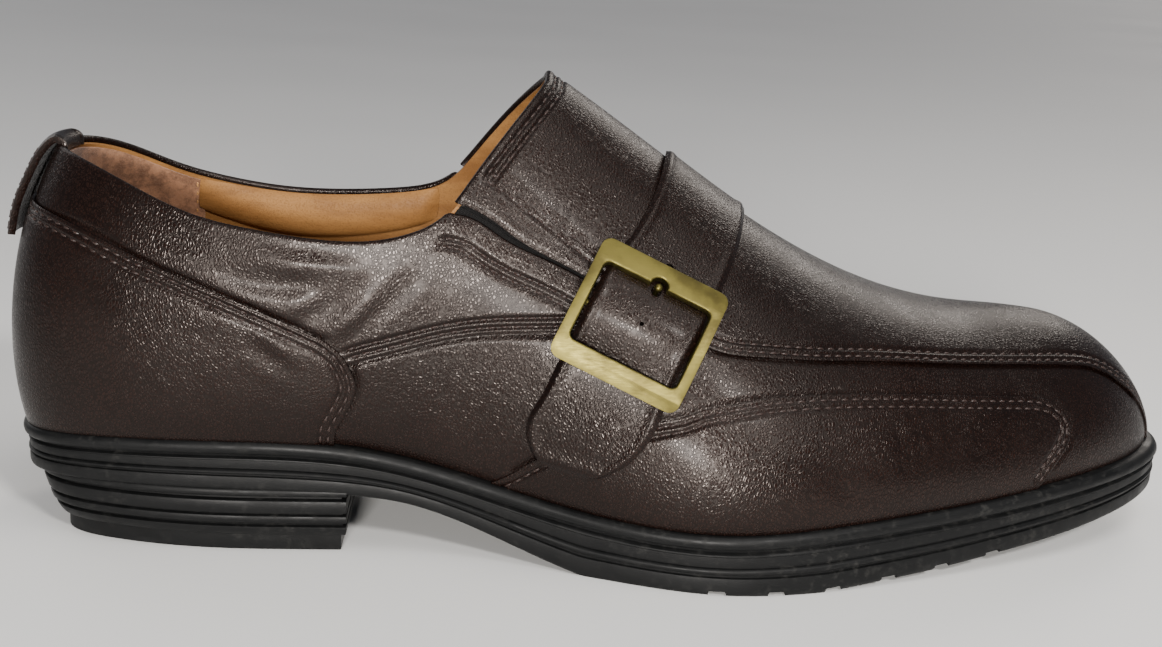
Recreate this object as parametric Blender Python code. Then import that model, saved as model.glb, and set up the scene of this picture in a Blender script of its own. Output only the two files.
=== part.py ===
"""Slip-on loafer, right shoe, with a strap and a square buckle over the instep.

Metres, +Z up. The toe points along +X and the lateral side faces -Y. The upper, the heel counter, the gores and
the strap are all read from one last, whose tables stand below in millimetres.
"""

import math

import bmesh
import bpy
import numpy as np
from mathutils import Matrix, Vector

MM = 0.001
NAME = "loafer"
LATERAL, MEDIAL = -1, 1
CENTRE = (0.0, 0.1)  # the last's own x and y that stand over the origin

GAP = 0.3
WALL = 2.5
COUNTER = 1.3
STRAP = 1.8
GORE = 1.0
GORE_GAP = 1.0
INSOLE = 3.0
INSOLE_INSET = 0.9
INSOLE_RISE = 0.15

# The last is four lines from heel to toe. Each has a row for each station: x, y on the lateral side, y on the
# medial side, z. The stations are heel back, heel turn, heel side, counter, waist, throat, instep, joint, vamp,
# toe side, toe flank, toe corner and toe front.
FEATHER = (
    (-148.5, 0.5, 0.5, 27.0),
    (-142.5, -19.0, 19.0, 27.5),
    (-126.0, -28.0, 28.0, 28.5),
    (-95.0, -32.5, 31.5, 29.5),
    (-62.0, -32.0, 30.0, 27.8),
    (-35.0, -34.0, 28.5, 22.0),
    (-5.0, -43.0, 31.0, 16.5),
    (26.0, -51.8, 40.0, 15.6),
    (60.0, -46.0, 50.0, 17.2),
    (97.0, -32.5, 51.0, 19.5),
    (123.0, -20.5, 44.0, 22.3),
    (142.0, -5.5, 33.0, 24.5),
    (150.5, 13.0, 13.0, 25.3),
)
BULGE = (
    (-155.3, 0.5, 0.5, 50.0),
    (-147.5, -21.5, 21.5, 50.0),
    (-128.5, -33.0, 33.0, 50.0),
    (-95.0, -39.0, 37.0, 50.0),
    (-60.0, -40.5, 36.5, 48.0),
    (-33.0, -42.5, 35.5, 44.0),
    (-3.0, -51.5, 37.0, 38.0),
    (27.0, -57.5, 45.0, 33.0),
    (61.0, -50.5, 55.0, 32.0),
    (98.0, -35.5, 54.5, 31.5),
    (124.0, -22.0, 46.0, 32.0),
    (142.5, -5.5, 33.5, 32.5),
    (150.5, 13.0, 13.0, 33.0),
)
SHOULDER = (
    (-149.5, 0.0, 0.0, 90.0),
    (-142.0, -20.0, 20.0, 92.0),
    (-124.5, -29.0, 29.0, 97.0),
    (-93.0, -32.0, 32.0, 108.0),
    (-58.0, -31.0, 31.0, 117.0),
    (-31.0, -29.0, 29.0, 118.0),
    (0.0, -26.0, 26.0, 102.0),
    (30.0, -29.0, 29.0, 83.0),
    (63.0, -28.0, 33.0, 67.5),
    (96.0, -19.0, 38.0, 58.5),
    (117.0, -11.5, 33.5, 57.5),
    (131.0, -2.5, 25.0, 57.0),
    (136.0, 12.0, 12.0, 57.0),
)
CREST = (
    (-123.0, 0.0, 0.0, 116.0),
    (-120.0, 0.0, 0.0, 118.0),
    (-111.0, 0.0, 0.0, 122.0),
    (-90.0, 0.0, 0.0, 130.0),
    (-58.0, 0.0, 0.0, 136.0),
    (-31.0, 0.0, 0.0, 124.5),
    (1.0, 0.0, 0.0, 103.6),
    (31.0, 1.0, 1.0, 83.2),
    (62.0, 4.0, 4.0, 66.5),
    (88.0, 7.0, 7.0, 58.7),
    (99.0, 8.5, 8.5, 57.8),
    (106.0, 9.5, 9.5, 57.5),
    (109.0, 10.0, 10.0, 57.4),
)

# The upper's top edge: x, z on the lateral side, z on the medial side. It runs along the collar, up the free
# edge of the tongue, and beyond the tongue's top it lies over the last.
TOP_EDGE = (
    (-150.0, 95.5, 95.5),
    (-138.0, 95.5, 95.5),
    (-129.0, 93.4, 93.0),
    (-117.0, 89.0, 87.2),
    (-102.0, 83.5, 82.6),
    (-87.0, 80.6, 80.4),
    (-72.0, 78.9, 80.2),
    (-58.0, 79.3, 81.2),
    (-50.0, 81.4, 82.6),
    (-42.5, 86.0, 86.6),
    (-35.3, 95.3, 95.3),
    (-27.0, 106.1, 106.1),
    (-18.4, 116.1, 116.1),
    (-10.0, 126.0, 126.0),
)
TONGUE_TOP_X = -18.4

# The strap's edges on each side, read upwards: the share of the way from feather line to crest, x of the edge
# nearer the heel, x of the edge nearer the toe. The lateral rows start with the rounded tab.
STRAP_LATERAL = (
    (0.118, -13.0, -6.0),
    (0.130, -18.0, -3.0),
    (0.160, -21.2, 0.2),
    (0.205, -21.5, 3.4),
    (0.265, -18.3, 6.4),
    (0.335, -14.6, 9.0),
    (0.385, -9.0, 10.6),
    (0.440, -6.6, 13.2),
    (0.500, -4.0, 15.8),
    (0.560, -1.2, 18.6),
    (0.610, 0.6, 22.4),
    (0.700, 4.6, 26.2),
    (0.820, 8.4, 29.4),
    (1.000, 11.0, 32.0),
)
STRAP_MEDIAL = (
    (0.015, 15.0, 43.0),
    (0.250, 15.0, 42.5),
    (0.450, 14.6, 41.0),
    (0.650, 14.0, 38.5),
    (0.850, 12.6, 35.0),
    (0.970, 11.3, 32.7),
)
STRAP_LIFT = 2.45
STRAP_LIFT_AT = 0.480
STRAP_LIFT_REACH = 0.14

# The heel counter: x and z along its top edge from the back to the corner, then down its front edge.
COUNTER_TOP = ((-160.0, 83.0), (-144.0, 81.8), (-132.9, 79.6), (-118.0, 74.3), (-101.0, 67.8), (-85.0, 61.4), (-69.5, 54.6))
COUNTER_FRONT = ((-69.5, 54.6), (-64.4, 49.0), (-63.0, 43.5), (-65.3, 37.2), (-70.0, 29.2))
COUNTER_LOW_V = 0.012

# The slot beside the tongue, in x and z: the quarter's edge below, the tongue's edge above.
SLOT = ((-44.5, 86.8), (-8.0, 70.3), (-8.0, 71.8), (-22.0, 78.3), (-41.5, 91.3))
GORE_MOUTH = (-39.6, 87.0)
GORE_END = (-5.0, 70.6)
GORE_ACROSS = (3.4, 4.3)

# The sole: how far each level of its side stands out from the feather line, and its depth below the top.
BEAD = ((0.9, 0.0), (1.9, 0.7), (2.2, 1.8), (1.9, 2.9), (0.9, 3.6))
SIDE_OUT = 0.9
# The edge under the arch and forefoot: x, z. Below zero it stands on the floor.
BOTTOM_EDGE = (
    (-160.0, 15.5),
    (-66.0, 15.5),
    (-52.0, 14.0),
    (-40.0, 10.8),
    (-26.0, 5.8),
    (-12.0, 1.2),
    (0.0, -1.4),
    (20.0, -2.0),
    (42.0, -0.8),
    (60.0, 0.8),
    (80.0, 2.3),
    (97.0, 4.0),
    (113.0, 6.0),
    (126.0, 8.0),
    (140.0, 10.4),
    (155.0, 13.0),
)
# The heel block, down to the top lift's foot: z, inset at its sides, at its back and at its breast.
HEEL_RINGS = (
    (21.0, 1.0, 2.4, 0.0),
    (16.5, 0.5, 2.6, 0.0),
    (13.0, 0.2, 4.0, 0.0),
    (8.5, 0.5, 6.0, 0.0),
    (6.6, 0.8, 7.4, 0.0),
    (5.0, 1.6, 9.6, 0.3),
    (5.0, 3.0, 11.4, 1.5),
    (0.4, 3.0, 11.4, 1.5),
    (0.0, 3.4, 11.8, 1.8),
)
BREAST_X = -65.0
LUG_GROOVES_X = (24.5, 38.8, 53.0, 67.5, 82.0, 96.5)
LUG_GROOVE_WIDTH = 4.0
LUG_GROOVE_DEPTH = 1.1

BUCKLE_CENTRE = (3.25, -35.6, 60.4)
BUCKLE_UP = (0.425, 0.407, 0.809)
BUCKLE_ACROSS = (0.905, -0.156, -0.397)
BUCKLE_OUTER = (33.0, 31.4)
BUCKLE_CORNER = 2.6
BUCKLE_BARS = (2.8, 5.7, 2.7, 5.4)  # heel side, top, toe side, bottom
BUCKLE_THICK = 2.2
BUCKLE_BOW = 60.0
BUCKLE_HEIGHT = 8.6
CENTRE_BAR_RADIUS = 0.9
CENTRE_BAR_HEIGHT = 3.25
LUG_SIZE = (2.2, 3.0)  # across the strap, along it
LUG_INSET = 2.9
LUG_OVERLAP = 0.27  # how far a lug reaches past the bar's axis
FRAME_BITE = 0.9  # how deep a lug ends inside the frame
NOTCH_RADIUS = 2.2
PRONG_RADIUS = 0.55
PRONG_ROUTE = ((1.75, 3.2), (4.6, 2.9), (6.6, 2.7), (7.9, 3.9), (8.9, 5.8), (10.3, 6.9))

STRAP_HOLE_AT = (7.7, 3.4)  # up the strap, and out
STRAP_HOLE_RADIUS = 1.7
STRAP_HOLE_TURN = -30.0

TAB_WIDTH = 15.0
TAB_CUP = 0.022  # how far the tab curls round the heel, in mm for each mm squared
TAB_THICK = 1.8
TAB_ROUTE = ((-135.1, 84.5), (-133.9, 91.0), (-134.4, 96.6), (-138.2, 98.3), (-142.4, 95.6), (-147.0, 88.0),
             (-150.6, 79.6), (-152.2, 72.4))


class Line:
    """A natural cubic curve through the rows of a table."""

    def __init__(self, knots, rows):
        self.knots = np.asarray(knots, float)
        self.rows = np.asarray(rows, float)
        steps = np.diff(self.knots)
        size = len(self.knots)
        system = np.eye(size)
        right = np.zeros_like(self.rows)
        for i in range(1, size - 1):
            system[i, i - 1 : i + 2] = steps[i - 1], 2 * (steps[i - 1] + steps[i]), steps[i]
            rise = (self.rows[i + 1] - self.rows[i]) / steps[i]
            right[i] = 6 * (rise - (self.rows[i] - self.rows[i - 1]) / steps[i - 1])
        self.bends = np.linalg.solve(system, right)

    def __call__(self, at):
        at = np.clip(np.asarray(at, float), self.knots[0], self.knots[-1])
        i = np.clip(np.searchsorted(self.knots, at, side="right") - 1, 0, len(self.knots) - 2)
        step = (self.knots[i + 1] - self.knots[i])[..., None]
        a = (self.knots[i + 1] - at)[..., None] / step
        b = 1 - a
        bend = ((a**3 - a) * self.bends[i] + (b**3 - b) * self.bends[i + 1]) * step**2 / 6
        return a * self.rows[i] + b * self.rows[i + 1] + bend


def chord_steps(table):
    """The mean length, over both sides, from each station of a table to the next."""
    rows = np.array(table)
    lateral = np.linalg.norm(np.diff(rows[:, (0, 1, 3)], axis=0), axis=1)
    medial = np.linalg.norm(np.diff(rows[:, (0, 2, 3)], axis=0), axis=1)
    return (lateral + medial) / 2


def last_lines(side):
    """The last's four lines on one side. Each runs on two stations round both ends, so that the sides meet smoothly."""
    steps = chord_steps(FEATHER)
    steps = steps / steps.sum()
    ahead = np.concatenate([steps[1::-1], steps, steps[:-3:-1]])
    knots = np.concatenate([[0], np.cumsum(ahead)]) - ahead[:2].sum()
    here, there = ((0, 1, 3), (0, 2, 3)) if side == LATERAL else ((0, 2, 3), (0, 1, 3))
    lines = []
    for table in (FEATHER, BULGE, SHOULDER, CREST):
        rows = np.array(table)
        ours, others = rows[:, here], rows[:, there]
        lines.append(Line(knots, np.concatenate([others[2:0:-1], ours, others[-2:-4:-1]])))
    return lines


LAST = {side: last_lines(side) for side in (LATERAL, MEDIAL)}
TOP_LINES = {
    side: Line([row[0] for row in TOP_EDGE], [[row[column]] for row in TOP_EDGE])
    for side, column in ((LATERAL, 1), (MEDIAL, 2))
}
BOTTOM_LINE = Line([row[0] for row in BOTTOM_EDGE], [[row[1]] for row in BOTTOM_EDGE])
COUNTER_LINE = Line([row[0] for row in COUNTER_TOP], [[row[1]] for row in COUNTER_TOP])


def skin(side, s, v):
    """The last's surface: s runs from heel back to toe front, v from the feather line up to the crest."""
    feather, bulge, shoulder, crest = (line(s) for line in LAST[side])
    v = np.asarray(v, float)[..., None]
    w = 1 - v
    return w**3 * feather + 3 * w * w * v * bulge + 3 * w * v * v * shoulder + v**3 * crest


def outward(side, s, v):
    """The unit normal of the last's surface, away from the foot."""
    tiny = 1e-3
    s = np.clip(s, tiny, 1 - tiny)
    v = np.clip(v, tiny, 0.998)
    along = skin(side, s + tiny, v) - skin(side, s - tiny, v)
    up = skin(side, s, v + tiny) - skin(side, s, v - tiny)
    normal = np.cross(along, up) * -side
    return normal / np.linalg.norm(normal, axis=-1, keepdims=True)


def proud(side, s, v, height):
    """A point that stands this far outside the last's surface, and inside it where the height is negative."""
    s, v = np.broadcast_arrays(np.asarray(s, float), np.asarray(v, float))
    shared = (s < 1e-9) | (s > 1 - 1e-9) | (v > 1 - 1e-9)
    normal = outward(side, s, v) + np.where(shared[..., None], outward(-side, s, v), 0)
    normal = normal / np.linalg.norm(normal, axis=-1, keepdims=True)
    return skin(side, s, v) + normal * np.asarray(height, float)[..., None]


def edge_out(side, s, out):
    """A point at the height of the feather line, moved level and outward from it."""
    s = np.asarray(s, float)
    tiny = 1e-3
    near = np.clip(s, tiny, 1 - tiny)
    along = LAST[side][0](near + tiny) - LAST[side][0](near - tiny)
    away = np.stack([along[..., 1], -along[..., 0], np.zeros_like(s)], axis=-1) * -side
    on_end = (s < 1e-9) | (s > 1 - 1e-9)
    away[on_end, 1] = 0.0
    away = away / np.linalg.norm(away, axis=-1, keepdims=True)
    return LAST[side][0](s) + away * np.asarray(out, float)[..., None], away


def s_where(side, v, x):
    """The s at which the surface, at this v, reaches this x."""
    low, high = np.zeros_like(x), np.ones_like(x)
    for _ in range(40):
        middle = (low + high) / 2
        behind = skin(side, middle, v)[..., 0] < x
        low = np.where(behind, middle, low)
        high = np.where(behind, high, middle)
    return (low + high) / 2


def on_wall(side, x, z):
    """The s and v at which the side wall passes through this x and z."""
    x, z = np.broadcast_arrays(np.asarray(x, float), np.asarray(z, float))
    low, high = np.zeros_like(x), np.full_like(x, 0.97)
    for _ in range(40):
        middle = (low + high) / 2
        s = s_where(side, middle, x)
        below = skin(side, s, middle)[..., 2] < z
        low = np.where(below, middle, low)
        high = np.where(below, high, middle)
    v = (low + high) / 2
    return s_where(side, v, x), v


def v_at_edge(side, s, edge):
    """The v at which each column reaches an edge that gives z over x, and 1 where it passes under that edge."""
    low, high = np.full_like(s, 0.2), np.ones_like(s)
    for _ in range(40):
        middle = (low + high) / 2
        point = skin(side, s, middle)
        below = point[:, 2] < edge(point[:, 0])[:, 0]
        low = np.where(below, middle, low)
        high = np.where(below, high, middle)
    return (low + high) / 2


class Mesh:
    """Collects grids of points as faces. Points that fall together become one vertex."""

    def __init__(self):
        self.bm = bmesh.new()
        self.verts = {}

    def vert(self, point):
        placed = ((point[0] - CENTRE[0]) * MM, (point[1] - CENTRE[1]) * MM, point[2] * MM)
        key = tuple(round(value * 1e6) for value in placed)
        if key not in self.verts:
            self.verts[key] = self.bm.verts.new(placed)
        return self.verts[key]

    def grid(self, points, turned=False):
        """Faces over a grid of points; turned makes them face the other way."""
        rows = [[self.vert(point) for point in row] for row in points]
        for i in range(len(rows) - 1):
            for j in range(len(rows[0]) - 1):
                corners = (rows[i][j], rows[i + 1][j], rows[i + 1][j + 1], rows[i][j + 1])
                face = [c for k, c in enumerate(corners) if c is not corners[k - 1]]
                if len(set(face)) < 3:
                    continue
                self.bm.faces.new(face[::-1] if turned else face)

    def slab(self, outer, inner, turned=False, rims=("start", "end", "low", "high")):
        """Two grids a wall apart, and the rims that close it where they are named."""
        self.grid(outer, turned)
        self.grid(inner, not turned)
        for rim, cut in (("start", np.s_[0, :]), ("end", np.s_[-1, :]), ("low", np.s_[:, 0]), ("high", np.s_[:, -1])):
            if rim in rims:
                self.grid(np.stack([outer[cut], inner[cut]]), turned == (rim in ("start", "high")))

    def object(self, name):
        mesh = bpy.data.meshes.new(name)
        bmesh.ops.recalc_face_normals(self.bm, faces=self.bm.faces)
        self.bm.to_mesh(mesh)
        self.bm.free()
        return bpy.data.objects.new(name, mesh)


def coons(low, high, start, end):
    """A grid of s and v between four edge lines: low and high run along it, start and end up it."""
    a = np.linspace(0, 1, len(low))[:, None, None]
    b = np.linspace(0, 1, len(start))[None, :, None]
    low, high, start, end = low[:, None], high[:, None], start[None], end[None]
    ruled = (1 - b) * low + b * high + (1 - a) * start + a * end
    corners = (1 - a) * ((1 - b) * low[:1] + b * high[:1]) + a * ((1 - b) * low[-1:] + b * high[-1:])
    return ruled - corners


def sampled(points, count):
    """Evenly spaced points along a smooth line through a few."""
    points = np.array(points, float)
    knots = np.concatenate([[0], np.cumsum(np.linalg.norm(np.diff(points, axis=0), axis=1))])
    return Line(knots, points)(np.linspace(0, knots[-1], count))


def upper():
    """One hollow shell: the wall of the last from the feather line to the top edge."""
    mesh = Mesh()
    crest_s = s_where(LATERAL, np.array([1.0]), np.array([TONGUE_TOP_X]))[0]
    collar = np.linspace(0, crest_s, 20)
    forepart = np.linspace(crest_s, 1, 23)
    s = np.concatenate([collar, forepart[1:]])
    levels = np.linspace(0, 1, 11)
    for side in (LATERAL, MEDIAL):
        top = v_at_edge(side, s, TOP_LINES[side])
        top[:1] = v_at_edge(LATERAL, s[:1], TOP_LINES[LATERAL])
        top[len(collar) - 1 :] = 1.0
        v = top[:, None] * levels
        columns = np.broadcast_to(s[:, None], v.shape)
        outer = proud(side, columns, v, np.zeros(v.shape))
        inner = proud(side, columns, v, np.full(v.shape, -WALL))
        inner[:, 0] = edge_out(side, s, np.full(s.shape, -WALL))[0]
        turned = side == MEDIAL
        mesh.slab(outer, inner, turned, rims=("low",))
        mesh.grid(np.stack([outer[: len(collar), -1], inner[: len(collar), -1]]), not turned)
    return mesh.object("upper")


def slot_cutter(side):
    """A wedge that cuts the slot beside the tongue through one wall."""
    mesh = Mesh()
    near, far = (side * 18.0, side * 48.0)
    outline = np.array([(x, 0.0, z) for x, z in SLOT])
    ends = []
    for y in (near, far):
        ring = outline.copy()
        ring[:, 1] = y
        ends.append(ring)
    loop = [np.vstack([ring, ring[:1]]) for ring in ends]
    mesh.grid(np.stack(loop))
    for ring in ends:
        mesh.bm.faces.new([mesh.vert(point) for point in ring])
    return mesh.object(f"slot_{'lateral' if side == LATERAL else 'medial'}")


def gore(side, name):
    """The elastic behind a slot, just inside the upper's wall."""
    mesh = Mesh()
    along = np.linspace(0, 1, 12)[:, None, None]
    across = np.linspace(-1, 1, 6)[None, :, None]
    centre = (1 - along) * np.array(GORE_MOUTH) + along * np.array(GORE_END)
    points = centre + across * np.array(GORE_ACROSS)
    s, v = on_wall(side, points[..., 0], points[..., 1])
    depth = np.full(s.shape, -(WALL + GORE_GAP))
    mesh.slab(proud(side, s, v, depth), proud(side, s, v, depth - GORE), side == MEDIAL)
    return mesh.object(name)


def heel_counter():
    """The stiff panel round the heel, standing proud of the quarters."""
    mesh = Mesh()
    columns, rows = 15, 8
    for side in (LATERAL, MEDIAL):
        front = sampled(COUNTER_FRONT, rows)[::-1]
        front_s, front_v = on_wall(side, front[:, 0], front[:, 1])
        top_s = np.linspace(0, front_s[-1], columns)
        top_height = v_at_edge(side, top_s, COUNTER_LINE)
        low_v = np.linspace(COUNTER_LOW_V, front_v[0], columns)
        low = np.stack([np.linspace(0, front_s[0], columns), low_v], axis=-1)
        high = np.stack([top_s, top_height], axis=-1)
        start = np.stack([np.zeros(rows), np.linspace(COUNTER_LOW_V, top_height[0], rows)], axis=-1)
        end = np.stack([front_s, front_v], axis=-1)
        patch = coons(low, high, start, end)
        s, v = patch[..., 0], patch[..., 1]
        inner = proud(side, s, v, np.full(s.shape, GAP))
        outer = proud(side, s, v, np.full(s.shape, GAP + COUNTER))
        mesh.slab(outer, inner, side == MEDIAL, rims=("end", "low", "high"))
    return mesh.object("heel_counter")


def strap():
    """The strap from its tab on the lateral side, over the crest, down to the medial sole edge."""
    mesh = Mesh()
    rows = []
    for side, table, count in ((LATERAL, STRAP_LATERAL, 29), (MEDIAL, STRAP_MEDIAL, 14)):
        rising = Line([row[0] for row in table], [row[1:] for row in table])
        v = np.linspace(table[0][0], table[-1][0], count)
        part = [(side, level, *edges) for level, edges in zip(v, rising(v))]
        rows += part if side == LATERAL else part[::-1]
    across = np.linspace(0, 1, 8)
    outer, inner = [], []
    for side, level, rear, front in rows:
        x = rear + (front - rear) * across
        v = np.full(x.shape, level)
        s = s_where(side, v, x)
        reach = min(abs(level - STRAP_LIFT_AT) / STRAP_LIFT_REACH, 1.0)
        lift = STRAP_LIFT * math.cos(reach * math.pi / 2) ** 2 if side == LATERAL else 0.0
        inner.append(proud(side, s, v, np.full(x.shape, GAP + lift)))
        outer.append(proud(side, s, v, np.full(x.shape, GAP + lift + STRAP)))
    mesh.slab(np.array(outer), np.array(inner))
    return mesh.object("strap")


def sole_side(side, s, levels):
    """Grid points down the sole's side. Levels are outs and depths below the feather line."""
    columns = []
    for out, depth in levels:
        point, _ = edge_out(side, s, np.full(s.shape, out))
        point[:, 2] -= GAP + depth
        columns.append(point)
    return columns


def sole_body():
    """The unit sole without its heel block, from bead to floor."""
    mesh = Mesh()
    s = np.linspace(0, 1, 51)
    edges = {}
    for side in (LATERAL, MEDIAL):
        columns = sole_side(side, s, BEAD)
        bottom, _ = edge_out(side, s, np.full(s.shape, SIDE_OUT - 0.5))
        floor = np.maximum(BOTTOM_LINE(bottom[:, 0])[:, 0], 0.0)
        chamfer, _ = edge_out(side, s, np.full(s.shape, SIDE_OUT))
        chamfer[:, 2] = floor + 0.5
        bottom[:, 2] = floor
        columns += [chamfer, bottom]
        mesh.grid(np.stack(columns, axis=1), side == LATERAL)
        edges[side] = (columns[0], columns[-1])
    across = np.linspace(0, 1, 5)[None, :, None]
    for level in (0, 1):
        lateral, medial = edges[LATERAL][level][:, None], edges[MEDIAL][level][:, None]
        mesh.grid(lateral * (1 - across) + medial * across, level == 1)
    return mesh.object("sole")


def heel_block():
    """The heel under the sole, raked at its back, and the top lift recessed under it."""
    mesh = Mesh()
    walls = {}
    for side in (LATERAL, MEDIAL):
        last_s = s_where(side, np.array([0.0]), np.array([BREAST_X]))[0]
        s = np.linspace(0, last_s, 19)
        columns = []
        for z, side_in, back_in, breast_in in HEEL_RINGS:
            _, away = edge_out(side, s, np.zeros(s.shape))
            backward = np.clip(-away[:, 0], 0, 1)
            inset = side_in + (back_in - side_in) * backward**1.5
            point, _ = edge_out(side, s, SIDE_OUT + 0.3 - inset)
            point[:, 2] = z
            point[-1, 0] = BREAST_X - breast_in
            columns.append(point)
        walls[side] = np.stack(columns, axis=1)
        mesh.grid(walls[side], side == LATERAL)
    across = np.linspace(0, 1, 7)[:, None, None]
    breast = walls[LATERAL][-1][None] * (1 - across) + walls[MEDIAL][-1][None] * across
    mesh.grid(breast)
    for level in (0, -1):
        lateral, medial = walls[LATERAL][:, level], walls[MEDIAL][:, level]
        cap = lateral[:, None] * (1 - across[None, :, 0]) + medial[:, None] * across[None, :, 0]
        mesh.grid(cap)
    return mesh.object("heel_block")


def groove_cutter(x):
    """A bar across the sole that cuts one groove between two lugs."""
    slope = (BOTTOM_LINE(x + 1.0) - BOTTOM_LINE(x - 1.0))[0] / 2
    floor = float(BOTTOM_LINE(x)[0])
    slope = slope if floor > 0 else 0.0
    height = 2 * LUG_GROOVE_DEPTH
    location = ((x - CENTRE[0]) * MM, 0, max(floor, 0.0) * MM)
    bpy.ops.mesh.primitive_cube_add(size=1, location=location, rotation=(0, -math.atan(slope), 0))
    bar = bpy.context.object
    bar.name = f"groove_{int(x)}"
    bar.scale = (LUG_GROOVE_WIDTH * MM, 160 * MM, height * MM)
    return bar


def insole():
    """The sock on the sole, inside the wall."""
    mesh = Mesh()
    s = np.linspace(0, 1, 33)
    inset = np.full(s.shape, -(WALL + INSOLE_INSET))
    lateral, medial = edge_out(LATERAL, s, inset)[0], edge_out(MEDIAL, s, inset)[0]
    across = np.linspace(0, 1, 5)[None, :, None]
    low = lateral[:, None] * (1 - across) + medial[:, None] * across + np.array([0, 0, INSOLE_RISE])
    high = low + np.array([0, 0, INSOLE])
    mesh.slab(high, low, rims=("low", "high"))
    return mesh.object("insole")


def buckle_frame_matrix():
    """Buckle space: x across the strap, y up it, z away from the shoe."""
    up, across = Vector(BUCKLE_UP).normalized(), Vector(BUCKLE_ACROSS).normalized()
    away = across.cross(up).normalized()
    up = away.cross(across)
    centre = Vector(((BUCKLE_CENTRE[0] - CENTRE[0]), (BUCKLE_CENTRE[1] - CENTRE[1]), BUCKLE_CENTRE[2])) * MM
    turn = Matrix((across, up, away)).transposed().to_4x4()
    return Matrix.Translation(centre) @ turn


def rounded_rectangle(left, right, low, high, radius, steps):
    """A closed outline, counterclockwise from the lower right corner's arc."""
    points = []
    corners = ((right, low, -90), (right, high, 0), (left, high, 90), (left, low, 180))
    for x, y, start in corners:
        cx = x - math.copysign(radius, x)
        cy = y - math.copysign(radius, y)
        for step in range(steps + 1):
            angle = math.radians(start + 90 * step / steps)
            points.append((cx + radius * math.cos(angle), cy + radius * math.sin(angle)))
    return points


def with_sides(points, count):
    """The same outline with more points on its straight sides, so that it can be bowed."""
    finer = []
    for (ax, ay), (bx, by) in zip(points, points[1:] + points[:1]):
        pieces = count if math.hypot(bx - ax, by - ay) > 5 else 1
        finer += [(ax + (bx - ax) * k / pieces, ay + (by - ay) * k / pieces) for k in range(pieces)]
    return finer


def bowed(x, y, height):
    """A point of the flat buckle, carried onto its bow."""
    angle = y / BUCKLE_BOW
    radius = BUCKLE_BOW + height - BUCKLE_HEIGHT
    return (x * MM, radius * math.sin(angle) * MM, (radius * math.cos(angle) - BUCKLE_BOW + BUCKLE_HEIGHT) * MM)


def buckle():
    """The square frame, bowed along the strap."""
    half_w, half_h = BUCKLE_OUTER[0] / 2, BUCKLE_OUTER[1] / 2
    heel_bar, top_bar, toe_bar, low_bar = BUCKLE_BARS
    rings = []
    for inset, height in ((0.0, -BUCKLE_THICK), (0.0, -0.5), (0.5, 0.0)):
        ring = rounded_rectangle(inset - half_w, half_w - inset, inset - half_h, half_h - inset, BUCKLE_CORNER, 4)
        rings.append([bowed(x, y, BUCKLE_HEIGHT + height) for x, y in with_sides(ring, 7)])
    for inset, height in ((0.7, 0.0), (0.0, -0.7), (0.0, -BUCKLE_THICK)):
        left, right = heel_bar - inset - half_w, half_w - toe_bar + inset
        ring = rounded_rectangle(left, right, low_bar - inset - half_h, half_h - top_bar + inset, 2.0, 4)
        rings.append([bowed(x, y, BUCKLE_HEIGHT + height) for x, y in with_sides(ring, 7)])
    bm = bmesh.new()
    verts = [[bm.verts.new(point) for point in ring] for ring in rings]
    for a, b in zip(verts, verts[1:] + verts[:1]):
        for k in range(len(a)):
            n = (k + 1) % len(a)
            bm.faces.new((a[k], a[n], b[n], b[k]))
    bmesh.ops.recalc_face_normals(bm, faces=bm.faces)
    data = bpy.data.meshes.new("buckle")
    bm.to_mesh(data)
    bm.free()
    frame = bpy.data.objects.new("buckle", data)
    frame.matrix_world = buckle_frame_matrix()
    return frame


def in_buckle(obj):
    """Places a primitive that was made at the origin in buckle space."""
    obj.matrix_world = buckle_frame_matrix() @ obj.matrix_world
    return obj


def centre_bar():
    """The rod under the strap, level across the frame, with the two lugs that carry it."""
    span = BUCKLE_OUTER[0] - 2 * LUG_INSET
    low, high = CENTRE_BAR_HEIGHT - LUG_OVERLAP, BUCKLE_HEIGHT - FRAME_BITE
    bpy.ops.mesh.primitive_cylinder_add(
        vertices=16, radius=CENTRE_BAR_RADIUS * MM, depth=span * MM,
        location=(0, 0, CENTRE_BAR_HEIGHT * MM), rotation=(0, math.pi / 2, 0))
    bar = bpy.context.object
    bar.name = "centre_bar"
    pieces = [in_buckle(bar)]
    for sign, name in ((-1, "lug_heel_side"), (1, "lug_toe_side")):
        x = sign * (BUCKLE_OUTER[0] / 2 - LUG_INSET)
        bpy.ops.mesh.primitive_cube_add(size=1, location=(x * MM, 0, (low + high) / 2 * MM))
        lug = bpy.context.object
        lug.name = name
        lug.scale = (LUG_SIZE[0] * MM, LUG_SIZE[1] * MM, (high - low) * MM)
        bpy.context.view_layer.update()
        pieces.append(in_buckle(lug))
    return pieces


def notch_cutter():
    """The half-round seat for the prong in the top bar's inner edge."""
    y = BUCKLE_OUTER[1] / 2 - BUCKLE_BARS[1]
    bpy.ops.mesh.primitive_cylinder_add(
        vertices=24, radius=NOTCH_RADIUS * MM, depth=12 * MM, location=(0, y * MM, BUCKLE_HEIGHT * MM))
    cutter = bpy.context.object
    cutter.name = "prong_notch"
    return in_buckle(cutter)


def prong():
    """The pin from the centre bar, up through the strap, to its seat in the top bar."""
    curve = bpy.data.curves.new("prong", "CURVE")
    curve.dimensions = "3D"
    curve.bevel_depth = PRONG_RADIUS * MM
    curve.bevel_resolution = 2
    curve.use_fill_caps = True
    route = sampled(PRONG_ROUTE, 12)
    spline = curve.splines.new("POLY")
    spline.points.add(len(route) - 1)
    for point, (y, z) in zip(spline.points, route):
        point.co = (0, y * MM, z * MM, 1)
    pin = bpy.data.objects.new("prong", curve)
    pin.matrix_world = buckle_frame_matrix()
    return pin


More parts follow.
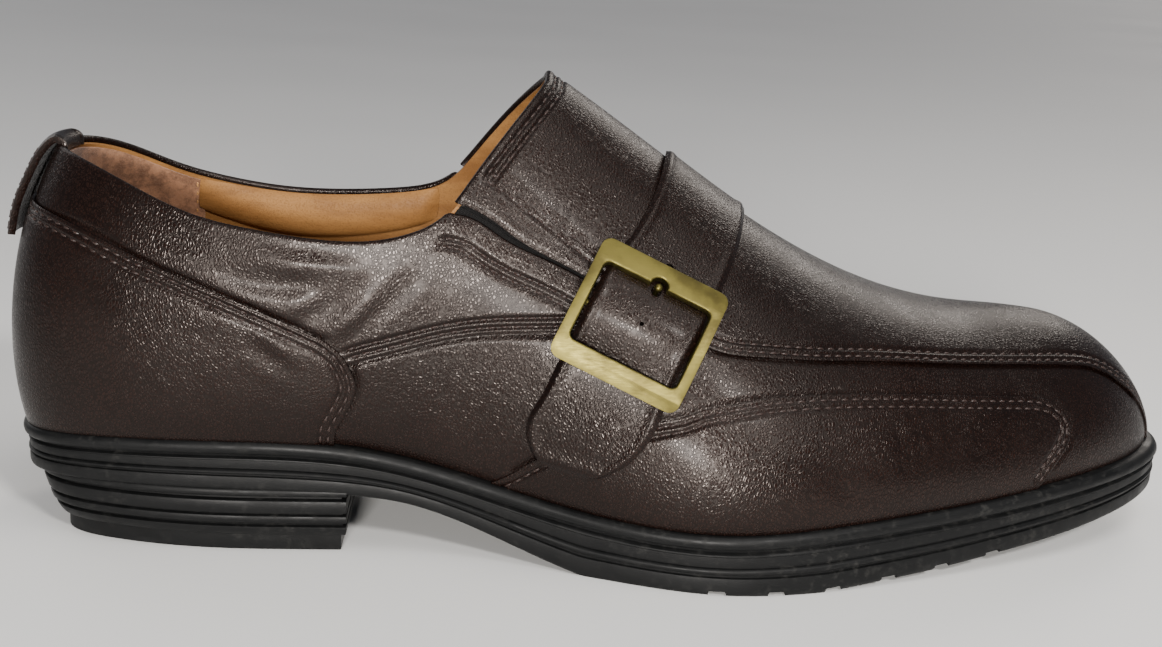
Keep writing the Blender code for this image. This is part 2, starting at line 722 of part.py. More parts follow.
def strap_hole():
    """The hole through which the prong comes up."""
    bpy.ops.mesh.primitive_cylinder_add(
        vertices=20, radius=STRAP_HOLE_RADIUS * MM, depth=9 * MM,
        location=(0, STRAP_HOLE_AT[0] * MM, STRAP_HOLE_AT[1] * MM), rotation=(math.radians(STRAP_HOLE_TURN), 0, 0))
    cutter = bpy.context.object
    cutter.name = "strap_hole"
    return in_buckle(cutter)


def pull_tab():
    """A folded leather strip over the back of the topline, hanging down outside."""
    route = sampled(TAB_ROUTE, 17)
    mesh = Mesh()
    across = np.linspace(-TAB_WIDTH / 2, TAB_WIDTH / 2, 7)
    tangent = np.gradient(route, axis=0)
    tangent /= np.linalg.norm(tangent, axis=1, keepdims=True)
    normal = np.stack([-tangent[:, 1], tangent[:, 0]], axis=-1)
    faces = []
    for shift in (0.0, -TAB_THICK):
        line = route - normal * shift
        grid = np.zeros((len(route), len(across), 3))
        grid[..., 0] = line[:, :1]
        grid[..., 1] = across
        grid[..., 2] = line[:, 1:]
        grid[..., 0] += TAB_CUP * across**2
        faces.append(grid)
    mesh.slab(faces[0], faces[1])
    return mesh.object("pull_tab")


def material(name, colour, roughness, metallic=0.0):
    made = bpy.data.materials.new(name)
    made.use_nodes = True
    shader = made.node_tree.nodes["Principled BSDF"]
    shader.inputs["Base Color"].default_value = (*colour, 1)
    shader.inputs["Roughness"].default_value = roughness
    shader.inputs["Metallic"].default_value = metallic
    made.diffuse_color = (*colour, 1)
    return made


def collection(name, hidden=False):
    made = bpy.data.collections.new(name)
    bpy.context.scene.collection.children.link(made)
    made.hide_render = hidden
    return made


def move_to(group, obj):
    for old in list(obj.users_collection):
        old.objects.unlink(obj)
    group.objects.link(obj)


def boolean(obj, other, operation):
    modifier = obj.modifiers.new(f"{operation.lower()}_{other.name}", "BOOLEAN")
    modifier.operation = operation
    modifier.solver = "EXACT"
    modifier.object = other


def main():
    for obj in list(bpy.data.objects):
        bpy.data.objects.remove(obj, do_unlink=True)
    parts = collection(NAME)
    cutters = collection(f"{NAME}_cutters", hidden=True)

    leather = material("dark_brown_leather", (0.060, 0.032, 0.027), 0.42)
    rubber = material("black_rubber", (0.020, 0.021, 0.022), 0.55)
    lining = material("tan_lining", (0.43, 0.22, 0.085), 0.7)
    elastic = material("black_elastic", (0.022, 0.018, 0.018), 0.85)
    brass = material("antique_brass", (0.48, 0.40, 0.20), 0.32, 1.0)

    pieces = {
        "sole": (sole_body(), rubber),
        "insole": (insole(), lining),
        "upper": (upper(), leather),
        "heel_counter": (heel_counter(), leather),
        "gore_lateral": (gore(LATERAL, "gore_lateral"), elastic),
        "gore_medial": (gore(MEDIAL, "gore_medial"), elastic),
        "strap": (strap(), leather),
        "buckle": (buckle(), brass),
        "prong": (prong(), brass),
        "pull_tab": (pull_tab(), leather),
    }
    for obj, finish in pieces.values():
        obj.data.materials.append(finish)
        move_to(parts, obj)

    cuts = [("sole", heel_block(), "UNION")]
    cuts += [("sole", groove_cutter(x), "DIFFERENCE") for x in LUG_GROOVES_X]
    cuts += [("upper", slot_cutter(side), "DIFFERENCE") for side in (LATERAL, MEDIAL)]
    cuts += [("buckle", piece, "UNION") for piece in centre_bar()]
    cuts += [("buckle", notch_cutter(), "DIFFERENCE"), ("strap", strap_hole(), "DIFFERENCE")]
    for name, cutter, operation in cuts:
        boolean(pieces[name][0], cutter, operation)
        cutter.hide_render = True
        cutter.display_type = "WIRE"
        move_to(cutters, cutter)


main()
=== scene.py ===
"""Slip-on loafer, right shoe: leather panels, seams, lining, elastic, strap, buckle and rubber sole.

Metres in the scene, millimetres in the tables. The toe points along +X and the lateral side faces -Y.
Every panel is cut from the same last: s runs from the heel's back to the toe's front, v from the feather
line, where the upper meets the sole, up to the crest.
"""

import math

import bpy
import numpy as np
from mathutils import Matrix, Vector


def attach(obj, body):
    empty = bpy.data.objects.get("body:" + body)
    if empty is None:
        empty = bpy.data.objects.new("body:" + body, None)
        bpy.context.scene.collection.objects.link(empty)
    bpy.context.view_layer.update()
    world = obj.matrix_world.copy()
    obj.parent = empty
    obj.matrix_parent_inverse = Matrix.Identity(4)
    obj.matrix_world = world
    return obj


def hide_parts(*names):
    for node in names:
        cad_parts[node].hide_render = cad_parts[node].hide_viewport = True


MM = 0.001
TINY = 1e-3  # the step in s or v over which a slope is read
RUN_SPACING = 0.004  # between the points of a smooth run, in s and v
LINE_SPACING = 0.5  # between a route's own points, in mm
SEAM_SPACING = 0.4  # between a panel's columns where it carries a seam, in mm
ORIGIN = np.array([0.0, 0.1, 0.0])
LATERAL, MEDIAL = -1, 1
SIDES = {LATERAL: "lateral", MEDIAL: "medial"}

# The last: x, y on the lateral side, y on the medial side, z, from the heel's back to the toe's front.
FEATHER = (
    (-146.9, 0.5, 0.5, 27.0),
    (-142.5, -19.0, 19.0, 27.5),
    (-126.0, -28.0, 28.0, 28.5),
    (-95.0, -32.5, 31.5, 29.5),
    (-62.0, -32.0, 30.0, 27.8),
    (-35.0, -34.0, 28.5, 22.0),
    (-5.0, -43.0, 31.0, 16.5),
    (26.0, -51.8, 40.0, 15.6),
    (60.0, -46.0, 50.0, 17.2),
    (97.0, -32.5, 51.0, 19.2),
    (123.0, -20.5, 44.0, 21.3),
    (143.0, -5.5, 33.0, 22.7),
    (151.7, 13.0, 13.0, 23.3),
)
BULGE = (
    (-153.8, 0.5, 0.5, 50.0),
    (-147.5, -21.5, 21.5, 50.0),
    (-128.5, -33.0, 33.0, 50.0),
    (-95.0, -39.0, 37.0, 50.0),
    (-60.0, -40.5, 36.5, 48.0),
    (-33.0, -42.5, 35.5, 44.0),
    (-3.0, -51.5, 37.0, 38.0),
    (27.0, -57.5, 45.0, 33.0),
    (61.0, -50.5, 55.0, 32.0),
    (98.0, -35.5, 54.5, 31.5),
    (124.0, -22.0, 46.0, 32.0),
    (143.5, -5.5, 33.5, 32.0),
    (152.4, 13.0, 13.0, 32.5),
)
SHOULDER = (
    (-149.5, 0.0, 0.0, 90.0),
    (-142.0, -20.0, 20.0, 92.0),
    (-124.5, -29.0, 29.0, 97.0),
    (-93.0, -32.0, 32.0, 108.0),
    (-58.0, -31.0, 31.0, 117.0),
    (-31.0, -29.0, 29.0, 118.0),
    (0.0, -26.0, 26.0, 102.0),
    (30.0, -29.0, 29.0, 83.0),
    (63.0, -28.0, 33.0, 67.5),
    (96.0, -19.0, 38.0, 58.5),
    (117.0, -11.5, 33.5, 57.5),
    (131.0, -2.5, 25.0, 57.0),
    (136.0, 12.0, 12.0, 57.0),
)
CREST = (
    (-123.0, 0.0, 0.0, 116.0),
    (-120.0, 0.0, 0.0, 118.0),
    (-111.0, 0.0, 0.0, 122.0),
    (-90.0, 0.0, 0.0, 130.0),
    (-58.0, 0.0, 0.0, 136.0),
    (-31.0, 0.0, 0.0, 124.5),
    (1.0, 0.0, 0.0, 103.6),
    (31.0, 1.0, 1.0, 83.2),
    (62.0, 4.0, 4.0, 66.5),
    (88.0, 7.0, 7.0, 58.7),
    (99.0, 8.5, 8.5, 57.8),
    (106.0, 9.5, 9.5, 57.5),
    (109.0, 10.0, 10.0, 57.4),
)

# The collar and the tongue's free edge: x, z on the lateral side, z on the medial side.
TOP_EDGE = (
    (-150.0, 95.5, 95.5),
    (-138.0, 95.5, 95.5),
    (-129.0, 93.4, 93.0),
    (-117.0, 89.0, 87.2),
    (-102.0, 83.5, 82.6),
    (-87.0, 80.6, 80.4),
    (-72.0, 78.9, 80.2),
    (-58.0, 79.3, 81.2),
    (-50.0, 81.4, 82.6),
    (-42.5, 86.0, 86.6),
    (-35.3, 95.3, 95.3),
    (-27.0, 106.1, 106.1),
    (-18.4, 116.1, 116.1),
    (-10.0, 126.0, 126.0),
)
TONGUE_TOP_X = -18.4
TONGUE_CORNER_X = -39.8
COLLAR_CORNER_X = -42.5

# Seam lines across the side, as x and z.
FLAP_EDGE = ((-31.9, 84.6), (-24.5, 79.6), (-18.5, 76.6), (-9.6, 72.5), (0.0, 67.6), (11.0, 61.9))
APRON_SEAM = (
    (21.9, 56.9), (32.6, 55.3), (47.7, 53.9), (63.6, 52.6), (80.3, 50.7), (97.6, 49.1), (110.7, 48.2),
    (123.7, 46.8), (133.5, 43.3), (143.2, 36.4),
)
APRON_TOE = ((0.971, 0.22), (0.974, 0.10), (0.974, 0.0))
QUARTER_FRONT = (
    (-36.6, 84.1), (-30.6, 80.6), (-24.4, 77.4), (-18.4, 75.0), (-10.0, 71.2), (-3.0, 67.6), (3.0, 64.4),
)
QUARTER_TIP = (3.0, 61.6)
QUARTER_LOW = (
    (-64.4, 49.4), (-57.6, 51.6), (-50.1, 53.8), (-42.6, 56.0), (-35.3, 57.5), (-27.8, 58.4), (-16.5, 59.2),
    (-5.0, 60.4),
)
QUARTER_HEM = ((-133.0, 71.5), (-118.0, 66.0), (-101.0, 59.5), (-85.0, 53.0), (-72.0, 46.5))
COUNTER_TOP = (
    (-160.0, 83.0), (-144.0, 81.8), (-132.9, 79.6), (-118.0, 74.3), (-101.0, 67.8), (-85.0, 61.6),
    (-70.8, 55.6),
)
COUNTER_FRONT = (
    (-70.8, 55.6), (-67.0, 52.7), (-64.4, 48.9), (-63.0, 45.5), (-63.2, 41.9), (-65.3, 37.2), (-67.8, 32.7),
)
WING_REAR = ((-24.6, 24.4), (-19.6, 28.4), (-10.0, 33.2), (0.0, 37.6), (8.4, 40.8))
WING_TOP = (
    (15.3, 42.6), (18.3, 43.9), (25.1, 45.3), (34.6, 46.6), (47.1, 46.9), (58.5, 46.4), (70.6, 45.4),
    (96.0, 42.8), (108.0, 41.6),
)
WING_TOE = ((113.3, 39.7), (116.7, 36.6), (117.7, 33.6), (116.6, 30.1), (112.8, 25.4))
WING_FOOT_X = (-30.0, 109.0)
SIDE_PANEL_TOP = (
    (-78.0, 52.5), (-64.4, 55.0), (-50.0, 59.0), (-35.3, 62.6), (-16.5, 64.6), (0.0, 64.8), (10.0, 63.4),
    (21.9, 61.2), (32.6, 59.8), (47.7, 58.4), (63.6, 57.0), (80.3, 55.0), (97.6, 53.4), (110.7, 52.4),
    (123.7, 50.8),
)
SIDE_PANEL_TOE = ((0.955, 0.56), (0.984, 0.44))  # s and v, as APRON_TOE is
SIDE_PANEL_FOOT_X = -80.0
TONGUE_SIDE_LINE = ((-33.6, 93.4), (-30.3, 91.6), (-23.3, 86.6), (-15.5, 81.2), (-7.7, 75.4), (2.0, 69.0))

# The creases that wear has left: side, width, depth, then x and z along each.
CREASES = (
    (LATERAL, 2.4, 0.38, ((-96.0, 71.5), (-87.0, 68.6), (-77.0, 67.6), (-69.0, 67.2))),
    (LATERAL, 2.2, -0.30, ((-89.0, 77.2), (-80.0, 73.6), (-70.0, 72.6), (-60.0, 71.8))),
    (LATERAL, 2.3, 0.34, ((-79.5, 56.5), (-73.0, 61.5), (-65.0, 66.5))),
    (LATERAL, 2.1, -0.32, ((-70.6, 55.0), (-64.5, 60.5), (-58.0, 67.0))),
    (LATERAL, 2.2, 0.22, ((-61.0, 60.0), (-54.0, 66.0), (-49.0, 72.0))),
    (LATERAL, 1.4, 0.14, ((-108.0, 79.5), (-103.0, 76.5), (-97.0, 73.5))),
    (LATERAL, 1.5, -0.22, ((-87.0, 58.4), (-81.0, 54.2), (-75.5, 50.0))),
    (LATERAL, 1.7, 0.22, ((-89.0, 54.6), (-83.0, 50.8), (-77.5, 46.6))),
    (LATERAL, 2.2, -0.16, ((-103.0, 60.8), (-96.0, 59.0), (-90.0, 58.0))),
    (LATERAL, 2.0, 0.20, ((66.0, 40.0), (69.0, 33.0), (70.5, 26.0))),
    (LATERAL, 1.3, 0.14, ((71.5, 39.5), (73.0, 34.0), (73.2, 29.0))),
    (LATERAL, 1.2, 0.12, ((75.6, 38.5), (77.0, 33.5), (77.0, 29.5))),
    (LATERAL, 2.4, 0.20, ((48.0, 30.0), (56.0, 24.5), (66.0, 21.5))),
    (MEDIAL, 2.6, 0.30, ((-92.0, 76.0), (-83.0, 69.0), (-73.0, 62.0))),
    (MEDIAL, 2.2, 0.24, ((-76.0, 76.0), (-68.0, 69.0), (-60.0, 61.0))),
    (MEDIAL, 2.2, 0.22, ((56.0, 44.0), (60.0, 36.0), (62.0, 28.0))),
    (MEDIAL, 2.0, 0.18, ((66.0, 42.0), (69.0, 34.0), (70.0, 27.0))),
)

# Each layer's outer face over the last's surface, and its thickness.
SIDE_PANEL = (-0.25, 0.9)
QUARTER = (0.55, 0.7)
VAMP = (0.55, 0.7)
WING = (0.55, 0.7)
COUNTER = (1.4, 0.75)
LINING = (-1.45, 0.8)
GORE_DEPTH = -1.25

# The fold along the top edge: its radius, and how far the leather runs on inside.
FOLD_RADIUS = 0.85
FOLD_TUCK = 1.6

# About how far each panel's grid runs along and across, in mm, and the plain grids' columns and rows.
VAMP_SPAN = (205, 46)
QUARTER_SPAN = (190, 30)
COUNTER_SPAN = (92, 52)
WING_SPAN = (140, 29)
SIDE_PANEL_GRID = (260, 76)
LINING_COLUMNS = (130, 90)  # as far as the tongue's top, and beyond it

# The other sheets' thicknesses.
HEEL_GRIP_THICK = 0.5
COLLAR_ROLL_THICK = 0.9
INSOLE_THICK = 2.2
GORE_THICK = 0.7
STRAP_THICK = 1.75
TAB_THICK = 1.7

INSOLE_TOP = 3.15
INSOLE_INSET = 3.45
INSOLE_DISH = 0.9
INSOLE_GRID = (150, 49)
HEEL_PAD = (-112.0, 33.0, 19.0, 0.5)  # x of its middle, half length, half width, height

WELD = 0.004  # how near two points are to be one, in mm

STITCH_PITCH = 2.9
STITCH_LENGTH = 2.1
STITCH_WIDTH = 0.66
STITCH_RISE = 0.13  # how far its middle line stands over the leather
STITCH_DROOP = 0.3  # how far its ends go down

# How far from an edge its rows of stitches lie.
SEAM_ROWS = (1.3, 3.2)
TONGUE_TOP_ROWS = (1.7, 3.8)
TONGUE_SIDE_ROWS = (0.0, 2.1)
QUARTER_HEM_ROWS = (1.7, 3.7)
QUARTER_FRONT_ROWS = (5.2, 7.2)
COUNTER_ROWS = (1.5, 3.4)
WING_REAR_ROWS = (2.2,)
SEAM_DEPTH = 0.5  # of the trough that the thread pulls
EDGE_GROOVE = (0.9, 0.55)  # width and depth of the trough that a panel leaves beside it in the one below

HEEL_GRIP_FRONT = ((-112.5, 44.0), (-111.0, 57.0), (-109.8, 70.0), (-109.0, 82.4))
HEEL_GRIP_DEPTH = -2.35
HEEL_GRIP_GRID = (56, 36)
HEEL_GRIP_STITCHES = (15, 2.6, 0.7)  # how many a side, their length and width
COLLAR_ROLL_X = (-107.5, -45.5)
COLLAR_ROLL_GRID = (90, 20)
COLLAR_ROLL_WIDTH = 11.0
COLLAR_ROLL_PUFF = 2.1
COLLAR_WRINKLE = 0.35

GORE_MOUTH = (-39.6, 87.0)
GORE_END = (-5.0, 70.6)
GORE_ACROSS = (3.4, 4.3)
GORE_RIBS = 13
GORE_REACH = 1.6  # how far it runs on under the strap, as a share of its way
GORE_GRID = (58, 85)

# The strap's edges on each side, read upwards: the share of the way from feather line to crest, x of the edge
# nearer the heel, x of the edge nearer the toe. The lateral rows start with the rounded tab.
STRAP_LATERAL = (
    (0.114, -14.8, -9.0),
    (0.126, -18.3, -4.8),
    (0.144, -20.4, -1.8),
    (0.170, -21.5, 1.2),
    (0.205, -21.6, 4.2),
    (0.265, -18.6, 7.8),
    (0.335, -15.2, 10.4),
    (0.385, -12.6, 12.4),
    (0.440, -9.9, 15.0),
    (0.500, -6.9, 17.9),
    (0.555, -3.9, 20.6),
    (0.610, -0.2, 22.8),
    (0.700, 4.6, 26.2),
    (0.820, 8.4, 29.4),
    (1.000, 11.0, 32.0),
)
STRAP_MEDIAL = (
    (0.015, 15.0, 43.0),
    (0.250, 15.0, 42.5),
    (0.450, 14.6, 41.0),
    (0.650, 14.0, 38.5),
    (0.850, 12.6, 35.0),
    (0.970, 11.3, 32.7),
)
STRAP_ROWS = (110, 60)  # on each side
STRAP_COLUMNS = 37
STRAP_TAB_REACH = 62  # mm of strap to a share of 1, beside its rounded end
STRAP_TOP = 2.3
STRAP_LIFT = 2.75
STRAP_LIFT_AT = 0.480
STRAP_LIFT_REACH = 0.135
STRAP_HOLES = ((0.0, 9.1, 1.3), (0.2, 0.2, 0.5), (0.4, 16.4, 1.1))

BUCKLE_CENTRE = (3.25, -35.6, 60.4)
BUCKLE_UP = (0.425, 0.407, 0.809)
BUCKLE_ACROSS = (0.905, -0.156, -0.397)
BUCKLE_OUTER = (33.0, 31.4)
BUCKLE_CORNER = 2.6
WINDOW_CORNER = 1.6
BUCKLE_BEVELS = (0.75, 0.55)  # round the window, round the rim
BUCKLE_BARS = (2.8, 5.7, 2.7, 5.4)  # heel side, top, toe side, bottom
BUCKLE_THICK = 2.2
BUCKLE_BOW = 60.0
BUCKLE_HEIGHT = 8.7
CENTRE_BAR_HEIGHT = 3.25
CENTRE_BAR_RADIUS = 0.9
LUG_INSET = 1.6
LUG_SIZE = (2.2, 3.0)
NOTCH_RADIUS = 2.1
PRONG_GRID = (40, 15)
PRONG_ROUTE = ((1.75, 3.2), (4.6, 2.9), (7.0, 3.0), (8.7, 4.4), (9.5, 6.2), (9.9, 8.2))

TAB_WIDTH = 15.0
TAB_GRID = (70, 31)
TAB_CURVE = 0.022  # how fast it curves back from its middle line
TAB_ROW_INSET = 1.7
TAB_STITCH_SINK = 0.15
TAB_ROUTE = ((-136.4, 93.2), (-136.8, 95.9), (-139.2, 97.2), (-142.6, 95.2), (-147.0, 88.0), (-150.6, 79.6),
             (-152.2, 72.4))

SOLE_COLUMNS = 175  # on each side
HEEL_COLUMNS = (56, 26)  # on each side, across its breast
# The sole's side: depth below the top edge, and how far it stands out from the feather line.
SOLE_GAP = 0.3
SOLE_BEAD_DEPTH = 3.7
SOLE_TOE_FLARE = (0.6, 2.2)  # more reach at the toe, at the bead's top and from its foot down
SOLE_SIDE = (
    (0.0, 0.9), (0.35, 1.55), (1.0, 2.05), (1.75, 2.2), (2.5, 2.05), (3.15, 1.55), (3.5, 0.9), (3.7, 0.35),
    (4.3, 0.25), (4.6, 0.7), (4.9, 1.05), (5.25, 1.1), (5.55, 0.85), (6.8, 0.95), (7.95, 0.85), (8.2, 0.25),
    (8.65, 0.25), (8.9, 0.85), (9.3, 1.15), (9.9, 1.15), (10.35, 0.85), (10.6, 0.25), (11.1, 0.25),
    (11.35, 0.8), (12.2, 0.95), (14.8, 0.95), (15.6, 0.8), (16.1, 0.3),
)
BOTTOM_EDGE = (
    (-160.0, 15.5), (-66.0, 15.5), (-52.0, 14.0), (-40.0, 10.8), (-26.0, 5.8), (-12.0, 1.2), (0.0, -1.4),
    (20.0, -2.0), (42.0, -0.8), (60.0, 0.8), (80.0, 2.3), (97.0, 4.0), (113.0, 5.7), (126.0, 7.3),
    (140.0, 9.2), (155.0, 11.4),
)
TREAD_GROOVES_X = (24.5, 38.8, 53.0, 67.5, 82.0, 96.5)
TREAD_GROOVE = (2.0, 1.1)  # half width, depth
TREAD_ACROSS = (0.0, 0.05, 0.34, 0.37, 0.43, 0.46, 0.7, 0.85, 1.0)
TREAD_CHANNEL = (14.0, 108.0, 0.7)  # the groove along the tread: where it starts and ends, and its depth
# The heel: z, then the inset at its sides, at its back and at its breast.
HEEL_SHAPE = (
    (21.0, 1.0, 2.4, 0.0), (16.5, 0.5, 2.6, 0.0), (13.0, 0.2, 4.0, 0.0), (8.5, 0.5, 6.0, 0.0),
    (6.6, 0.8, 7.4, 0.0), (4.3, 1.7, 9.7, 0.3),
)
# Its bands: z, and how far each stands out.
HEEL_BANDS = (
    (17.4, -1.6), (17.0, -0.6), (16.75, -0.1), (16.3, 0.15), (15.4, 0.15), (15.0, -0.1), (14.85, -0.5),
    (14.7, -1.3), (14.15, -1.3), (14.0, -0.5), (13.8, -0.05), (13.4, 0.1), (11.2, 0.1), (10.8, -0.05),
    (10.65, -0.4), (10.5, -1.0), (10.1, -1.0), (9.95, -0.4), (9.8, -0.05), (9.4, 0.15), (8.4, 0.15),
    (8.05, -0.05), (7.9, -0.4), (7.75, -1.0), (7.2, -1.0), (7.05, -0.4), (6.9, -0.05), (6.5, 0.05),
    (4.95, 0.05), (4.6, -0.1), (4.4, -0.5), (4.3, -1.8),
)
TOP_LIFT = ((4.5, 0.4), (4.35, 0.0), (0.45, 0.0), (0.12, 0.12), (0.0, 0.45))  # z, further inset
TOP_LIFT_SHAPE = (3.0, 11.4, 1.5)
# The grooves pressed into its tread, from its rim inward: the share of its outline, and z.
LIFT_TREAD = ((0.88, 0.0), (0.87, 0.6), (0.76, 0.6), (0.75, 0.0), (0.64, 0.0), (0.63, 0.6))
BREAST_X = -65.0
HEEL_OUT = 1.2

CAMERA_AT = (-32.3, -377.9, 153.2)
CAMERA_LENS = 46.47
CAMERA_TURN = (3.74, 14.96, 2.72)  # yaw toward the toe, pitch down, roll, in degrees

# Each distant light: where it stands, strength, width in degrees, tint.
DISTANT = (
    ("toe_light", (0.47, 0.74, 0.50), 0.8, 22.0, (1.0, 0.93, 0.85)),
    ("instep_light", (-0.60, 0.72, 0.42), 0.5, 40.0, (1.0, 0.97, 0.94)),
)
# Each soft light: where it stands, what it faces, its size, strength, tint.
LIGHTS = (
    ("key", (-0.15, -1.02, 0.25), (-0.04, 0.0, 0.06), (0.17, 0.115), 15.5, (1.0, 0.96, 0.91)),
    ("over_tongue", (0.36, -0.85, 0.68), (0.0, 0.0, 0.06), (0.15, 0.11), 8.0, (1.0, 0.97, 0.93)),
    ("overhead", (0.25, -0.30, 1.0), (0.04, 0.0, 0.05), (0.75, 0.55), 4.5, (1.0, 0.97, 0.93)),
)


class Line:
    """A natural cubic curve through the rows of a table."""

    def __init__(self, knots, rows):
        self.knots = np.asarray(knots, float)
        self.rows = np.asarray(rows, float)
        steps = np.diff(self.knots)
        size = len(self.knots)
        system = np.eye(size)
        right = np.zeros_like(self.rows)
        for i in range(1, size - 1):
            system[i, i - 1 : i + 2] = steps[i - 1], 2 * (steps[i - 1] + steps[i]), steps[i]
            rise = (self.rows[i + 1] - self.rows[i]) / steps[i]
            right[i] = 6 * (rise - (self.rows[i] - self.rows[i - 1]) / steps[i - 1])
        self.bends = np.linalg.solve(system, right)

    def __call__(self, at):
        at = np.clip(np.asarray(at, float), self.knots[0], self.knots[-1])
        i = np.clip(np.searchsorted(self.knots, at, side="right") - 1, 0, len(self.knots) - 2)
        step = (self.knots[i + 1] - self.knots[i])[..., None]
        a = (self.knots[i + 1] - at)[..., None] / step
        b = 1 - a
        bend = ((a**3 - a) * self.bends[i] + (b**3 - b) * self.bends[i + 1]) * step**2 / 6
        return a * self.rows[i] + b * self.rows[i + 1] + bend


def last_lines(side):
    """The last's four lines on one side. Each runs on round both ends, so that the sides meet smoothly."""
    rows = np.array(FEATHER)
    lengths = [np.linalg.norm(np.diff(rows[:, picked], axis=0), axis=1) for picked in ((0, 1, 3), (0, 2, 3))]
    steps = (lengths[0] + lengths[1]) / 2
    steps = steps / steps.sum()
    ahead = np.concatenate([steps[1::-1], steps, steps[:-3:-1]])
    knots = np.concatenate([[0], np.cumsum(ahead)]) - ahead[:2].sum()
    here, there = ((0, 1, 3), (0, 2, 3)) if side == LATERAL else ((0, 2, 3), (0, 1, 3))
    lines = []
    for table in (FEATHER, BULGE, SHOULDER, CREST):
        rows = np.array(table)
        ours, others = rows[:, here], rows[:, there]
        lines.append(Line(knots, np.concatenate([others[2:0:-1], ours, others[-2:-4:-1]])))
    return lines


def over_first(table, *columns):
    """A curve of a table's columns over its first one."""
    rows = np.array(table)
    return Line(rows[:, 0], rows[:, columns])


LAST = {side: last_lines(side) for side in SIDES}
TOP_LINES = {LATERAL: over_first(TOP_EDGE, 1), MEDIAL: over_first(TOP_EDGE, 2)}
COUNTER_LINE = over_first(COUNTER_TOP, 1)


def skin(side, s, v):
    """The last's surface."""
    feather, bulge, shoulder, crest = (line(s) for line in LAST[side])
    v = np.asarray(v, float)[..., None]
    w = 1 - v
    return w**3 * feather + 3 * w * w * v * bulge + 3 * w * v * v * shoulder + v**3 * crest


def slopes(side, s, v):
    """How the last's surface runs with s and with v."""
    s = np.clip(s, TINY, 1 - TINY)
    v = np.clip(v, TINY, 1 - 2 * TINY)
    along = (skin(side, s + TINY, v) - skin(side, s - TINY, v)) / (2 * TINY)
    up = (skin(side, s, v + TINY) - skin(side, s, v - TINY)) / (2 * TINY)
    return along, up


def unit(vectors):
    return vectors / np.linalg.norm(vectors, axis=-1, keepdims=True)


def outward(side, s, v):
    """The unit normal of the last's surface, away from the foot."""
    along, up = slopes(side, s, v)
    normal = unit(np.cross(along, up) * -side)
    shared = (s < 1e-6) | (s > 1 - 1e-6) | (v > 1 - 1e-6)
    if not np.any(shared):
        return normal
    along, up = slopes(-side, s, v)
    return unit(normal + np.where(shared[..., None], unit(np.cross(along, up) * side), 0))


def proud(side, s, v, height):
    """A point that stands this far outside the last's surface, and inside it where the height is negative."""
    s, v = np.broadcast_arrays(np.asarray(s, float), np.asarray(v, float))
    return skin(side, s, v) + outward(side, s, v) * np.asarray(height, float)[..., None]


def edge_out(side, s, out):
    """A point at the height of the feather line, moved level and outward from it."""
    s = np.asarray(s, float)
    near_s = np.clip(s, TINY, 1 - TINY)
    along = LAST[side][0](near_s + TINY) - LAST[side][0](near_s - TINY)
    away = np.stack([along[..., 1], -along[..., 0], np.zeros_like(s)], axis=-1) * -side
    away[(s < 1e-9) | (s > 1 - 1e-9), 1] = 0.0
    away = unit(away)
    return LAST[side][0](s) + away * np.asarray(out, float)[..., None], away


def s_where(side, v, x):
    """The s at which the surface, at this v, reaches this x."""
    low, high = np.zeros_like(x), np.ones_like(x)
    for _ in range(40):
        middle = (low + high) / 2
        behind = skin(side, middle, v)[..., 0] < x
        low = np.where(behind, middle, low)
        high = np.where(behind, high, middle)
    return (low + high) / 2


def on_wall(side, points):
    """The s and v at which the side wall passes through each x and z."""
    goal = np.asarray(points, float)
    s, v = (axis.ravel() for axis in np.meshgrid(np.linspace(0.004, 0.996, 90), np.linspace(0.01, 0.96, 50)))
    wall = skin(side, s, v)[:, (0, 2)]
    first = ((wall[None] - goal[:, None]) ** 2).sum(-1).argmin(1)
    s, v = s[first], v[first]
    for _ in range(10):
        miss = goal - skin(side, s, v)[:, (0, 2)]
        along, up = (slope[:, (0, 2)] for slope in slopes(side, s, v))
        size = along[:, 0] * up[:, 1] - along[:, 1] * up[:, 0]
        s = np.clip(s + (miss[:, 0] * up[:, 1] - miss[:, 1] * up[:, 0]) / size, 0, 1)
        v = np.clip(v + (along[:, 0] * miss[:, 1] - along[:, 1] * miss[:, 0]) / size, 0, 0.99)
    return np.stack([s, v], axis=-1)


def v_at_edge(side, s, edge, lower=0.0):
    """The v at which each column reaches an edge that gives z over x, or 1 where it passes under it."""
    low, high = np.full_like(s, 0.2), np.ones_like(s)
    for _ in range(40):
        middle = (low + high) / 2
        point = skin(side, s, middle)
        below = point[:, 2] < edge(point[:, 0])[:, 0] - lower
        low = np.where(below, middle, low)
        high = np.where(below, high, middle)
    return (low + high) / 2


def top_run(side, start, end, lower, count=80):
    """The top edge as s and v, from one s to another."""
    s = np.linspace(start, end, count)
    v = v_at_edge(side, s, TOP_LINES[side], lower)
    if start == 0:
        v[0] = v_at_edge(LATERAL, s[:1], TOP_LINES[LATERAL], lower)[0]
    if end == TONGUE_TOP_S:
        v[-1] = 1.0
    return np.stack([s, v], axis=-1)


def reach_of(points):
    """How far along a line each of its points lies."""
    return np.concatenate([[0], np.cumsum(np.linalg.norm(np.diff(points, axis=0), axis=1))])


def smooth_run(points):
    """A dense smooth line of s and v through a few."""
    points = np.asarray(points, float)
    knots = reach_of(points)
    return Line(knots, points)(np.linspace(0, knots[-1], max(int(knots[-1] / RUN_SPACING), 8)))


def wall_run(side, points):
    return smooth_run(on_wall(side, points))


